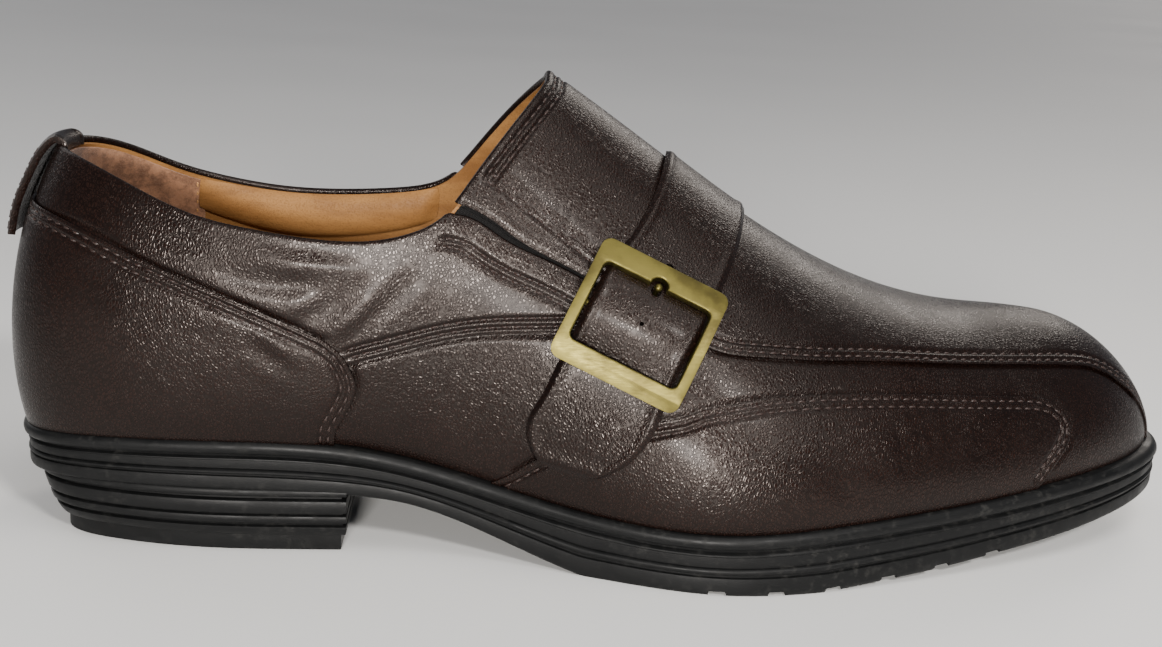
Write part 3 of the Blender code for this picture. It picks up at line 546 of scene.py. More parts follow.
class Route:
    """A line on one side of the last, read by the share of its length."""

    def __init__(self, side, *runs):
        sv = np.concatenate([np.atleast_2d(run) for run in runs])
        keep = np.concatenate([[True], np.linalg.norm(np.diff(sv, axis=0), axis=1) > 1e-7])
        self.side, self.sv = side, sv[keep]
        self.points = skin(side, self.sv[:, 0], self.sv[:, 1])
        self.reach = reach_of(self.points)
        self.length = self.reach[-1]

    def at(self, share):
        far = np.asarray(share) * self.length
        return np.stack([np.interp(far, self.reach, self.sv[:, k]) for k in (0, 1)], axis=-1)

    def drawn(self):
        """The line's own points on the last, evenly spaced."""
        sv = self.at(np.linspace(0, 1, max(int(self.length / LINE_SPACING), 4)))
        return skin(self.side, sv[:, 0], sv[:, 1])

    def inset(self, distance):
        """A line at this distance beside this one, on the crest's side where this one runs toward the toe."""
        sv = self.at(np.linspace(0, 1, max(int(self.length / 0.8), 6)))
        points = skin(self.side, sv[:, 0], sv[:, 1])
        forward = unit(np.gradient(points, axis=0))
        left = np.cross(outward(self.side, sv[:, 0], sv[:, 1]), forward) * -self.side
        goal = points + left * distance
        for _ in range(4):
            along, up = slopes(self.side, sv[:, 0], sv[:, 1])
            short = goal - skin(self.side, sv[:, 0], sv[:, 1])
            aa, ab, bb = (along * along).sum(1), (along * up).sum(1), (up * up).sum(1)
            ra, rb = (along * short).sum(1), (up * short).sum(1)
            det = aa * bb - ab * ab
            sv = sv + np.stack([(ra * bb - rb * ab) / det, (rb * aa - ra * ab) / det], axis=-1)
            sv = np.clip(sv, 0, 1)
        return Route(self.side, sv)

    def part(self, start, end):
        return Route(self.side, self.at(np.linspace(start, end, max(int(self.length * (end - start)), 6))))


def straight(side, start, end, count):
    """A straight run of s and v."""
    return Route(side, np.linspace(start, end, count))


def graded(length, coarse, low, high, band=4.5):
    """Shares from 0 to 1, close together near the ends that carry a seam."""
    far = np.linspace(0, length, 3000)
    weight = np.zeros_like(far)
    for wanted, away in ((low, far), (high, length - far)):
        if wanted:
            weight = np.maximum(weight, np.clip(1 - (away - band) / 6, 0, 1))
    total = np.concatenate([[0], np.cumsum(np.diff(far) / (coarse - (coarse - SEAM_SPACING) * weight)[1:])])
    count = int(math.ceil(total[-1]))
    return np.interp(np.linspace(0, total[-1], count + 1), total, far / length)


def patch(low, high, start, end, a, b):
    """A grid of s and v between four routes: low and high run along it, start and end up it."""
    u, w = a[:, None, None], b[None, :, None]
    low, high, start, end = low.at(a)[:, None], high.at(a)[:, None], start.at(b)[None], end.at(b)[None]
    ruled = (1 - w) * low + w * high + (1 - u) * start + u * end
    corners = (1 - u) * ((1 - w) * low[:1] + w * high[:1]) + u * ((1 - w) * low[-1:] + w * high[-1:])
    return ruled - corners


def near(points, line):
    """How far a line is from each point, in mm, and the share of the line at which its nearest place lies."""
    flat = points.reshape(-1, 3)
    square = (flat**2).sum(1)[:, None] + (line**2).sum(1)[None] - 2 * flat @ line.T
    index = square.argmin(1)
    away = np.sqrt(np.maximum(square[np.arange(len(flat)), index], 0))
    reach = reach_of(line)
    return away.reshape(points.shape[:-1]), (reach[index] / reach[-1]).reshape(points.shape[:-1])


TONGUE_TOP_S = float(s_where(LATERAL, np.array([1.0]), np.array([TONGUE_TOP_X]))[0])


def named(obj, name):
    obj.name = obj.data.name = name
    return obj


def added(operator, **settings):
    """Adds a primitive, alone in the selection."""
    bpy.ops.object.select_all(action="DESELECT")
    operator(**settings)
    return bpy.context.object


def sheet_of(name, points):
    """A grid carried onto these points, its columns along the first axis and its rows along the second."""
    columns, rows = points.shape[:2]
    grid = added(bpy.ops.mesh.primitive_grid_add, x_subdivisions=columns - 1, y_subdivisions=rows - 1, size=1)
    sheet = named(grid, name)
    sheet.data.vertices.foreach_set("co", ((points - ORIGIN) * MM).transpose(1, 0, 2).ravel())
    sheet.data.update()
    return sheet


def faced(side, points):
    """A side's columns in the order that turns its faces outward."""
    return points if side == LATERAL else points[::-1]


def only(obj):
    bpy.ops.object.select_all(action="DESELECT")
    obj.select_set(True)
    bpy.context.view_layer.objects.active = obj


def modified(obj, kind, **settings):
    """Adds a modifier and applies it."""
    only(obj)
    modifier = obj.modifiers.new(kind.lower(), kind)
    for key, value in settings.items():
        setattr(modifier, key, value)
    bpy.ops.object.modifier_apply(modifier=modifier.name)
    return obj


def edited(obj, *steps):
    """Runs edit mode operators on the whole of a piece."""
    only(obj)
    bpy.ops.object.mode_set(mode="EDIT")
    bpy.ops.mesh.select_all(action="SELECT")
    for operator, settings in steps:
        operator(**settings)
    bpy.ops.object.mode_set(mode="OBJECT")
    return obj


def smoothed(obj, angle):
    only(obj)
    bpy.ops.object.shade_smooth_by_angle(angle=math.radians(angle))
    return obj


def placed(obj):
    """Puts a piece's place into its mesh."""
    only(obj)
    bpy.ops.object.transform_apply(location=True, rotation=True, scale=True)
    return obj


def joined(name, pieces):
    bpy.ops.object.select_all(action="DESELECT")
    for piece in pieces:
        piece.select_set(True)
    bpy.context.view_layer.objects.active = pieces[0]
    if len(pieces) > 1:
        bpy.ops.object.join()
    return named(bpy.context.object, name)


def finished(obj, slot, *finishes, replaces=()):
    """Gives a piece its finishes and hands it to the frame."""
    obj.data.materials.clear()
    for finish in finishes:
        obj.data.materials.append(finish)
    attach(obj, "root")
    if replaces:
        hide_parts(*replaces)
    return obj


def eased(obj, width, segments=2, angle=55):
    """Bevels a piece's sharp edges."""
    return modified(obj, "BEVEL", width=width * MM, segments=segments, limit_method="ANGLE",
                    angle_limit=math.radians(angle))


def thickened(obj, thickness, bevel=0.0, rim=0, smooth=50):
    """Gives a sheet its thickness, its rim a finish of its own where rim is 1, and breaks its edges."""
    modified(obj, "SOLIDIFY", thickness=thickness * MM, offset=-1, material_offset_rim=rim)
    if bevel:
        eased(obj, bevel)
    return smoothed(obj, smooth)


def leathered(obj, thickness, bevel=0.22):
    """A cut panel: its edge shows the raw leather."""
    return thickened(obj, thickness, bevel, rim=1)


def ridge(away, at, width, rise):
    """A soft ridge at a distance from a line, or a trough where its rise is negative."""
    return rise * np.exp(-(((away - at) / width) ** 2))


CREASE_LINES = [
    (side, width, depth, Route(side, wall_run(side, points)).drawn())
    for side, width, depth, points in CREASES]


class Layer:
    """One cut layer of the upper: how far out its face lies, how thick it is, and the lines that shape it."""

    def __init__(self, size):
        self.height, self.thickness = size
        self.lines = {side: [] for side in SIDES}
        self.rows = []
        for side, width, depth, line in CREASE_LINES:
            self.lines[side].append((line, 0.0, width, -depth, True))
            self.lines[side].append((line, 1.9 * width, width, 0.4 * depth, True))

    def shape(self, route, at, width, rise):
        """A ridge, or a trough where rise is negative, that follows a line at a distance."""
        self.lines[route.side].append((route.drawn(), at, width, rise, False))

    def seam(self, route, sign, rows=SEAM_ROWS, depth=SEAM_DEPTH):
        """Rows of stitches beside an edge, on its left where sign is 1, each pulled into the leather."""
        for distance in rows:
            row = route.inset(sign * distance)
            self.rows.append(row)
            self.shape(row, 0.0, 0.55, -depth)

    def under(self, side, *edges):
        """The trough beside each edge of a panel that lies on this one."""
        width, depth = EDGE_GROOVE
        for edge in edges:
            self.shape(Route(side, wall_run(side, edge)), 0.0, width, -depth)

    def rise(self, side, points):
        total = np.full(points.shape[:-1], self.height)
        for line, at, width, rise, tapered in self.lines[side]:
            away, reach = near(points, line)
            added = ridge(away, at, width, rise)
            if tapered:
                added = added * np.sin(np.pi * np.clip(reach, 0.02, 0.98)) ** 0.7
            total = total + added
        return total

    def points(self, side, grid):
        s, v = grid[..., 0], grid[..., 1]
        base = skin(side, s, v)
        return base + outward(side, s, v) * self.rise(side, base)[..., None]

    def panel(self, name, points, finishes, thread_name, **stands_for):
        """The panel with its thickness, and the thread of its seams."""
        piece = leathered(sheet_of(name, points), self.thickness)
        finished(piece, "dark_brown_leather", *finishes, **stands_for)
        self.stitches(thread_name)
        return piece

    def stitches(self, name):
        """The thread of every row, as one piece."""
        spots, forwards, normals = [], [], []
        for row in self.rows:
            count = int(row.length / STITCH_PITCH)
            shares = (np.arange(count) + 0.5) / count
            sv = row.at(shares)
            base = skin(row.side, sv[:, 0], sv[:, 1])
            normal = outward(row.side, sv[:, 0], sv[:, 1])
            spots.append(base + normal * (self.rise(row.side, base) + STITCH_RISE)[:, None])
            forwards.append(unit(np.gradient(base, axis=0)))
            normals.append(normal)
        return thread(name, np.concatenate(spots), np.concatenate(forwards), np.concatenate(normals), THREAD)


def thread(name, spots, forwards, normals, finish, length=STITCH_LENGTH, width=STITCH_WIDTH):
    """One stitch, modelled once and laid at every spot."""
    lying = (0, math.pi / 2, 0)
    ball = added(bpy.ops.mesh.primitive_uv_sphere_add, segments=6, ring_count=5, radius=1, rotation=lying)
    stitch = placed(ball)
    shape = np.array([vert.co for vert in stitch.data.vertices])
    faces = [tuple(face.vertices) for face in stitch.data.polygons]
    bpy.data.objects.remove(stitch)
    shape = shape * (length / 2, width / 2, width / 2.4)
    shape[:, 2] -= STITCH_DROOP * (shape[:, 0] / (length / 2)) ** 2
    sideways = unit(np.cross(normals, forwards))
    turned = np.stack([forwards, sideways, normals], axis=1)
    verts = (spots[:, None] + shape @ turned - ORIGIN) * MM
    every = [tuple(index + k * len(shape) for index in face) for k in range(len(spots)) for face in faces]
    mesh = bpy.data.meshes.new(name)
    mesh.from_pydata(verts.reshape(-1, 3).tolist(), [], every)
    row = bpy.data.objects.new(name, mesh)
    bpy.context.scene.collection.objects.link(row)
    smoothed(row, 80)
    return finished(row, "dark_brown_leather", finish)


def folded_over(points, normals):
    """More rows after a grid's last one, which carry the leather over its edge and back inside."""
    out = unit(points[:, -1] - points[:, -2])
    out = unit(out - normals * (out * normals).sum(-1, keepdims=True))
    rows = []
    for angle in np.radians((25, 50, 75, 100, 125, 150, 180)):
        rise, sink = FOLD_RADIUS * math.sin(angle), FOLD_RADIUS * (1 - math.cos(angle))
        rows.append(points[:, -1] + out * rise - normals * sink)
    rows.append(rows[-1] - out * FOLD_TUCK)
    return np.concatenate([points, np.stack(rows, axis=1)], axis=1)


def both_sides(halves):
    """Two half grids that share their first column, heel first, as one grid round the heel."""
    return np.concatenate([halves[MEDIAL][::-1], halves[LATERAL][1:]])


def top_corner(side, x):
    """Where the fold along the top edge starts, at this x."""
    return on_wall(side, [(x, TOP_LINES[side](x)[0] - FOLD_RADIUS)])[0]


def nearest_share(route, point):
    """The share of a route's length at which it passes an x and z."""
    gap = (route.points[:, 0] - point[0]) ** 2 + (route.points[:, 2] - point[1]) ** 2
    return route.reach[gap.argmin()] / route.length


def vamp_seam(side):
    """The vamp's edge: the flap beside the elastic, then the apron seam to the toe."""
    wall = on_wall(side, FLAP_EDGE + APRON_SEAM)
    return smooth_run(np.concatenate([[top_corner(side, TONGUE_CORNER_X)], wall, APRON_TOE]))


def vamp(finishes):
    """Tongue, vamp and apron in one piece, from the tongue's top to the toe."""
    layer = Layer(VAMP)
    halves = {}
    crest = np.linspace((TONGUE_TOP_S, 1.0), (1.0, 1.0), 200)
    toe = np.linspace((1.0, 1.0), (1.0, 0.0), 60)
    for side in SIDES:
        low = Route(side, vamp_seam(side))
        high = Route(side, crest, toe)
        corner = low.at(0.0)
        start = Route(side, top_run(side, corner[0], TONGUE_TOP_S, FOLD_RADIUS))
        end = straight(side, APRON_TOE[-1], (1.0, 0.0), 30)
        flap_share = nearest_share(low, FLAP_EDGE[-1])
        apron_share = nearest_share(low, APRON_SEAM[0])
        layer.shape(low, 0.0, 0.7, -0.28)
        layer.shape(low.part(0, flap_share), 2.2, 1.1, 0.12)
        layer.seam(low.part(apron_share - 0.05, 0.985), 1)
        top_share = nearest_share(start, (-35.0, 95.5))
        layer.seam(start.part(top_share, 1), -1, rows=TONGUE_TOP_ROWS)
        side_line = Route(side, wall_run(side, TONGUE_SIDE_LINE))
        layer.seam(side_line, 1, rows=TONGUE_SIDE_ROWS)
        halves[side] = (low, high, start, end)
    shares = graded(VAMP_SPAN[0], low=True, high=False, coarse=1.5)
    rise = graded(VAMP_SPAN[1], low=True, high=False, coarse=1.45)
    grids = {side: patch(*halves[side], shares, rise) for side in SIDES}
    lateral = layer.points(LATERAL, grids[LATERAL])
    medial = layer.points(MEDIAL, grids[MEDIAL])
    points = np.concatenate([lateral, medial[:, ::-1][:, 1:]], axis=1)
    normals = np.concatenate([
        outward(LATERAL, *grids[LATERAL][0].T), outward(MEDIAL, *grids[MEDIAL][0, ::-1][1:].T)])
    turned = folded_over(points[::-1].transpose(1, 0, 2), normals).transpose(1, 0, 2)[::-1]
    return layer.panel("vamp", turned, finishes, "vamp_stitches", replaces=("upper",))


def quarters(finishes):
    """Both quarters and the band round the heel's top, with the collar's edge folded over."""
    layer = Layer(QUARTER)
    halves, normals = {}, {}
    shares = graded(QUARTER_SPAN[0], low=False, high=False, coarse=1.35)
    rise = graded(QUARTER_SPAN[1], low=True, high=True, coarse=0.9, band=8)
    for side in SIDES:
        corner = top_corner(side, COLLAR_CORNER_X)
        collar = top_run(side, 0.0, corner[0], FOLD_RADIUS, 160)
        collar[-1] = corner
        front = smooth_run(np.concatenate([[corner], on_wall(side, QUARTER_FRONT)]))
        high = Route(side, collar, front)
        hem_start = v_at_edge(side, np.array([0.0]), COUNTER_LINE, 8.0)
        hem = on_wall(side, QUARTER_HEM + QUARTER_LOW + (QUARTER_TIP,))
        low = Route(side, smooth_run(np.concatenate([[(0.0, hem_start[0])], hem])))
        start = straight(side, (0.0, hem_start[0]), (0.0, collar[0, 1]), 20)
        end = straight(side, low.at(1.0), high.at(1.0), 12)
        edge = low.part(nearest_share(low, QUARTER_LOW[0]), nearest_share(low, QUARTER_LOW[-1]))
        fold = Route(side, front)
        layer.shape(low, 0.0, 0.7, -0.35)
        layer.seam(edge, 1, rows=QUARTER_HEM_ROWS)
        layer.shape(fold, 0.0, 0.9, -0.3)
        layer.shape(fold, -2.6, 1.5, 0.6)
        layer.seam(fold, -1, rows=QUARTER_FRONT_ROWS, depth=0.6)
        layer.under(side, COUNTER_TOP)
        grid = patch(low, high, start, end, shares, rise)
        halves[side] = layer.points(side, grid)
        normals[side] = outward(side, grid[:, -1, 0], grid[:, -1, 1])
    points = folded_over(both_sides(halves), both_sides(normals))
    return layer.panel("quarters", points, finishes, "quarter_stitches")


def heel_counter(finishes):
    """The stiff panel round the heel."""
    layer = Layer(COUNTER)
    halves = {}
    shares = graded(COUNTER_SPAN[0], low=False, high=True, coarse=1.4)
    rise = graded(COUNTER_SPAN[1], low=False, high=True, coarse=1.4)
    for side in SIDES:
        front_run = wall_run(side, COUNTER_FRONT)
        corner = front_run[0]
        top_s = np.linspace(0, corner[0], 120)
        top_v = v_at_edge(side, top_s, COUNTER_LINE)
        top_v[-1] = corner[1]
        top = np.stack([top_s, top_v], axis=-1)
        foot = front_run[-1] * (1, 0)
        front_run = np.concatenate([front_run, [foot]])
        low = straight(side, (0.0, 0.0), foot, 60)
        start = straight(side, (0.0, 0.0), (0.0, top_v[0]), 30)
        rim = Route(side, top, front_run[1:])
        layer.shape(rim, 0.0, 0.6, -0.22)
        layer.shape(rim, 0.9, 0.5, 0.12)
        layer.seam(rim, -1, rows=COUNTER_ROWS)
        layer.shape(Route(side, front_run[len(front_run) // 3 :]), 0.0, 5.0, -0.55)
        grid = patch(low, Route(side, top), start, Route(side, front_run[::-1]), shares, rise)
        halves[side] = layer.points(side, grid)
    points, thread_name = both_sides(halves), "heel_counter_stitches"
    return layer.panel("heel_counter_panel", points, finishes, thread_name, replaces=("heel_counter",))


def side_panel(side, finishes):
    """The long panel between the counter and the toe, under the layers above and below it."""
    layer = Layer(SIDE_PANEL)
    rear = s_where(side, np.array([0.0]), np.array([SIDE_PANEL_FOOT_X]))[0]
    high = Route(side, smooth_run(np.concatenate([on_wall(side, SIDE_PANEL_TOP), SIDE_PANEL_TOE])))
    last = high.at(1.0)
    low = straight(side, (rear, 0.0), (last[0], 0.0), 150)
    layer.under(side, COUNTER_FRONT, QUARTER_LOW, APRON_SEAM, WING_REAR + WING_TOP, WING_TOE)
    start = straight(side, (rear, 0.0), high.at(0.0), 40)
    end = straight(side, (last[0], 0.0), last, 30)
    shares, rise = (np.linspace(0, 1, number) for number in SIDE_PANEL_GRID)
    points = faced(side, layer.points(side, patch(low, high, start, end, shares, rise)))
    piece = leathered(sheet_of(f"side_panel_{SIDES[side]}", points), layer.thickness, bevel=0)
    return finished(piece, "dark_brown_leather", *finishes)


def wing(side, finishes):
    """The low panel along the forepart, with its rounded end near the toe and its raw cut edge."""
    layer = Layer(WING)
    rear, fore = s_where(side, np.zeros(2), np.array(WING_FOOT_X))
    back_edge = on_wall(side, WING_REAR + WING_TOP)
    front_edge = on_wall(side, WING_TOE)
    rim = Route(side, smooth_run(np.concatenate([[(rear, 0.0)], back_edge, front_edge, [(fore, 0.0)]])))
    cut_back = nearest_share(rim, WING_REAR[1])
    cut_front = nearest_share(rim, WING_TOE[1])
    start = rim.part(0, cut_back)
    high = rim.part(cut_back, cut_front)
    end = Route(side, rim.part(cut_front, 1).sv[::-1])
    low = straight(side, (rear, 0.0), (fore, 0.0), 90)
    layer.shape(rim, 0.0, 0.6, -0.2)
    layer.seam(rim.part(nearest_share(rim, (2.0, 38.4)), 0.997), -1)
    layer.seam(rim.part(0.012, cut_back + 0.02), -1, rows=WING_REAR_ROWS)
    shares = graded(WING_SPAN[0], low=True, high=True, coarse=1.3)
    rise = graded(WING_SPAN[1], low=False, high=True, coarse=1.2)
    points = faced(side, layer.points(side, patch(low, high, start, end, shares, rise)))
    return layer.panel(f"wing_{SIDES[side]}", points, finishes, f"wing_stitches_{SIDES[side]}")


def lining(finishes):
    """The leather lining of the whole inside, and its edge under the collar."""
    halves = []
    depth, thick = LINING
    open_part, covered = LINING_COLUMNS
    for side in SIDES:
        s = np.concatenate(
            [np.linspace(0, TONGUE_TOP_S, open_part), np.linspace(TONGUE_TOP_S, 1, covered)[1:]])
        top = v_at_edge(side, s, TOP_LINES[side], 1.2)
        top[0] = v_at_edge(LATERAL, s[:1], TOP_LINES[LATERAL], 1.2)[0]
        top[open_part - 1 :] = 1.0
        v = top[:, None] * np.linspace(0, 1, 30) ** 0.9
        columns = np.broadcast_to(s[:, None], v.shape)
        points = proud(side, columns, v, np.full(v.shape, depth))
        points[:, 0] = edge_out(side, s, np.full(s.shape, depth))[0]
        halves.append(sheet_of(f"lining_{SIDES[side]}", faced(side, points)))
    piece = joined("lining", halves)
    edited(piece, (bpy.ops.mesh.remove_doubles, {"threshold": 5 * WELD * MM}))
    return finished(thickened(piece, thick), "tan_lining", *finishes)


def heel_grip(finishes):
    """The suede patch round the inside of the heel, sewn down along its front edges."""
    halves, rows = {}, []
    count, length, width = HEEL_GRIP_STITCHES
    for side in SIDES:
        front = on_wall(side, HEEL_GRIP_FRONT)
        top = top_run(side, 0.0, front[-1, 0], 2.0, 60)
        top[-1] = front[-1]
        low = straight(side, (0.0, front[0, 1]), front[0], 40)
        start = straight(side, (0.0, front[0, 1]), (0.0, top[0, 1]), 20)
        end = Route(side, smooth_run(front))
        shares, rise = (np.linspace(0, 1, number) for number in HEEL_GRIP_GRID)
        grid = patch(low, Route(side, top), start, end, shares, rise)
        s, v = grid[..., 0], grid[..., 1]
        base = skin(side, s, v)
        puff = 0.35 * np.sin(0.16 * base[..., 0] + 0.09 * base[..., 2]) ** 2
        halves[side] = base + outward(side, s, v) * (HEEL_GRIP_DEPTH - puff)[..., None]
        row = end.inset(2.0)
        sv = row.at(np.linspace(0.04, 0.97, count))
        spots = skin(side, sv[:, 0], sv[:, 1])
        normal = -outward(side, sv[:, 0], sv[:, 1])
        rows.append((spots + normal * (0.15 - HEEL_GRIP_DEPTH), unit(np.gradient(spots, axis=0)), normal))
    piece = thickened(sheet_of("heel_grip", both_sides(halves)[::-1]), HEEL_GRIP_THICK)
    finished(piece, "tan_lining", *finishes)
    thread("heel_grip_stitches", *(np.concatenate(part) for part in zip(*rows)), LIGHT_THREAD, length, width)
    return piece


def collar_roll(side, finishes):
    """The padded roll of the lining along the side of the collar, above its fold."""
    start_s, end_s = (s_where(side, np.array([0.75]), np.array([x]))[0] for x in COLLAR_ROLL_X)
    columns, rows = COLLAR_ROLL_GRID
    along = np.linspace(0, 1, columns)
    across = np.linspace(0, 1, rows)
    top = top_run(side, start_s, end_s, 1.5, columns)
    points = []
    for share, (s, v_top) in zip(along, top):
        width = COLLAR_ROLL_WIDTH * (0.75 + 0.25 * math.sin(math.pi * share))
        ladder = np.linspace(v_top, v_top - 0.3, 60)
        fall = reach_of(skin(side, np.full(ladder.shape, s), ladder))
        v = np.interp(across * width, fall, ladder)
        full = min(1.0, 3.5 * share, 8 * (1 - share)) ** 0.7
        puff = COLLAR_ROLL_PUFF * full * np.sin(math.pi * across) ** 0.55
        wrinkle = COLLAR_WRINKLE * np.sin(across * math.pi) * (
            ridge(share, 0.93, 0.12, math.sin(38 * share + 4 * share * share)) + 0.35 * math.sin(23 * share))
        depth = LINING[0] - LINING[1] + 0.1 - puff - wrinkle
        points.append(proud(side, np.full(rows, s), v, depth))
    sheet = sheet_of(f"collar_roll_{SIDES[side]}", faced(-side, np.array(points)))
    piece = thickened(sheet, COLLAR_ROLL_THICK, smooth=60)
    finished(piece, "tan_lining", *finishes)
    return piece


def insole_sock(finishes):
    """The leather sock on the insole, slightly dished, with a heel pad pressed into it."""
    columns, rows = INSOLE_GRID
    s = np.linspace(0, 1, columns)
    across = np.linspace(-1, 1, rows)
    lateral, medial = (edge_out(side, s, np.full(s.shape, -INSOLE_INSET))[0] for side in (LATERAL, MEDIAL))
    share = (across + 1) / 2
    points = lateral[:, None] * (1 - share[None, :, None]) + medial[:, None] * share[None, :, None]
    dish = -INSOLE_DISH * (1 - across**2) ** 1.5
    middle_x, long, wide, high = HEEL_PAD
    away = np.hypot((points[..., 0] - middle_x) / long, points[..., 1] / wide)
    pad = high / (1 + np.exp((away - 1) * 14))
    hem = ridge((1 - np.abs(across)) * 14, 1.0, 0.35, -0.25)[None]
    points[..., 2] += INSOLE_TOP + dish + pad + hem
    piece = thickened(sheet_of("insole_sock", points), INSOLE_THICK, bevel=0.5)
    return finished(piece, "tan_lining", *finishes, replaces=("insole",))


def gore(side, finishes):
    """The ribbed elastic beside the tongue."""
    rows, columns = GORE_GRID
    along = np.linspace(0, GORE_REACH, rows)[:, None, None]
    across = np.linspace(-1, 1, columns)[None, :, None]
    centre = (1 - along) * np.array(GORE_MOUTH) + along * np.array(GORE_END)
    xz = centre + across * np.array(GORE_ACROSS)
    sv = on_wall(side, xz.reshape(-1, 2)).reshape(rows, columns, 2)
    rib = 0.16 * np.cos(np.linspace(0, GORE_RIBS * 2 * math.pi, columns))[None]
    weave = 0.05 * np.cos(np.arange(rows) * math.pi)[:, None]
    points = proud(side, sv[..., 0], sv[..., 1], GORE_DEPTH + rib + weave)
    piece = thickened(sheet_of(f"elastic_{SIDES[side]}", faced(side, points)), GORE_THICK, smooth=60)
    return finished(piece, "black_elastic", *finishes, replaces=(f"gore_{SIDES[side]}",))


def metres(values):
    return [value * MM for value in values]


def rod(radius, length, at, vertices=20, **turn):
    """A plain round rod, to cut with or to shape further."""
    return added(bpy.ops.mesh.primitive_cylinder_add, vertices=vertices, radius=radius * MM,
                 depth=length * MM, location=metres(at), **turn)


def cut_by(piece, tool):
    """Cuts a tool's shape out of a piece and throws the tool away."""
    modified(piece, "BOOLEAN", operation="DIFFERENCE", solver="EXACT", object=tool)
    bpy.data.objects.remove(tool)


def strap(finishes):
    """The strap from its rounded tab, up through the buckle, over the instep and down the other side."""
    rows = []
    for side, table, count in zip(SIDES, (STRAP_LATERAL, STRAP_MEDIAL), STRAP_ROWS):
        edges = over_first(table, 1, 2)
        v = np.linspace(table[0][0], table[-1][0], count)
        if side == LATERAL:
            v = table[0][0] + (table[-1][0] - table[0][0]) * np.linspace(0, 1, count) ** 1.25
        part = [(side, level, *ends) for level, ends in zip(v, edges(v))]
        rows += part if side == LATERAL else part[::-1]
    across = np.linspace(0, 1, STRAP_COLUMNS)
    across = 0.45 * (1 - np.cos(np.linspace(0, math.pi, STRAP_COLUMNS))) / 2 + 0.55 * across
    points = []
    for side, level, rear, front in rows:
        reach = min(abs(level - STRAP_LIFT_AT) / STRAP_LIFT_REACH, 1.0)
        bulge = math.cos(reach * math.pi / 2) ** 2 if side == LATERAL else 0.0
        x = rear + (front - rear) * across
        v = np.full(x.shape, level)
        s = s_where(side, v, x)
        line = skin(side, s, v)
        reach_across = reach_of(line)
        inward = np.minimum(reach_across, reach_across[-1] - reach_across)
        if side == LATERAL:
            inward = np.minimum(inward, (level - STRAP_LATERAL[0][0]) * STRAP_TAB_REACH)
        roll = ridge(inward, 1.6, 1.0, 0.3) + ridge(inward, 0.0, 0.75, -0.55)
        swell = 0.9 * bulge * np.sin(math.pi * across) ** 0.8 - 0.35 * bulge
        height = STRAP_TOP + STRAP_LIFT * bulge + roll + swell
        points.append(proud(side, s, v, height))
    piece = sheet_of("strap_leather", np.stack(points, axis=1))
    modified(piece, "SOLIDIFY", thickness=STRAP_THICK * MM, offset=-1)
    eased(piece, 0.45, segments=3, angle=50)
    for across_mm, up_mm, radius in STRAP_HOLES:
        punched(piece, across_mm, up_mm, radius)
    smoothed(piece, 50)
    return finished(piece, "dark_brown_leather", *finishes, replaces=("strap",))


def punched(piece, across_mm, up_mm, radius):
    """A round hole through the strap, square to the buckle."""
    punch = rod(radius, 6, (across_mm, up_mm, 4.5))
    punch.matrix_world = BUCKLE_PLACE @ punch.matrix_world
    cut_by(piece, punch)


def buckle_place():
    """Buckle space: x across the strap, y up it, z away from the shoe."""
    up, across = Vector(BUCKLE_UP).normalized(), Vector(BUCKLE_ACROSS).normalized()
    away = across.cross(up).normalized()
    up = away.cross(across)
    centre = Vector(np.array(BUCKLE_CENTRE) - ORIGIN) * MM
    return Matrix.Translation(centre) @ Matrix((across, up, away)).transposed().to_4x4()


BUCKLE_PLACE = buckle_place()


def bowed_on(obj, height):
    """Bows a flat piece along the strap and carries it to the buckle's place."""
    bow = BUCKLE_BOW * MM
    for vert in obj.data.vertices:
        x, y, z = vert.co
        angle = y / bow
        radius = bow + z
        bowed = Vector((x, radius * math.sin(angle), radius * math.cos(angle) - bow + height * MM))
        vert.co = BUCKLE_PLACE @ bowed
    obj.data.update()
    return obj


def bevel_where(obj, wanted, offset, segments):
    """Bevels the edges whose middle and direction a test accepts."""
    only(obj)
    bpy.ops.object.mode_set(mode="EDIT")
    bpy.ops.mesh.select_mode(type="EDGE")
    bpy.ops.mesh.select_all(action="DESELECT")
    bpy.ops.object.mode_set(mode="OBJECT")
    for edge in obj.data.edges:
        a, b = (obj.data.vertices[index].co / MM for index in edge.vertices)
        edge.select = wanted(a, b)
    bpy.ops.object.mode_set(mode="EDIT")
    bpy.ops.mesh.bevel(offset=offset * MM, segments=segments, affect="EDGES", clamp_overlap=True)
    bpy.ops.object.mode_set(mode="OBJECT")


def blocked(size, corner, at=(0, 0, 0), segments=6):
    """A cube cut to a plate with rounded corners."""
    plate = placed(added(bpy.ops.mesh.primitive_cube_add, size=1, location=metres(at), scale=metres(size)))
    bevel_where(plate, lambda a, b: abs(a.z - b.z) > size[2] / 2, corner, segments)
    return plate


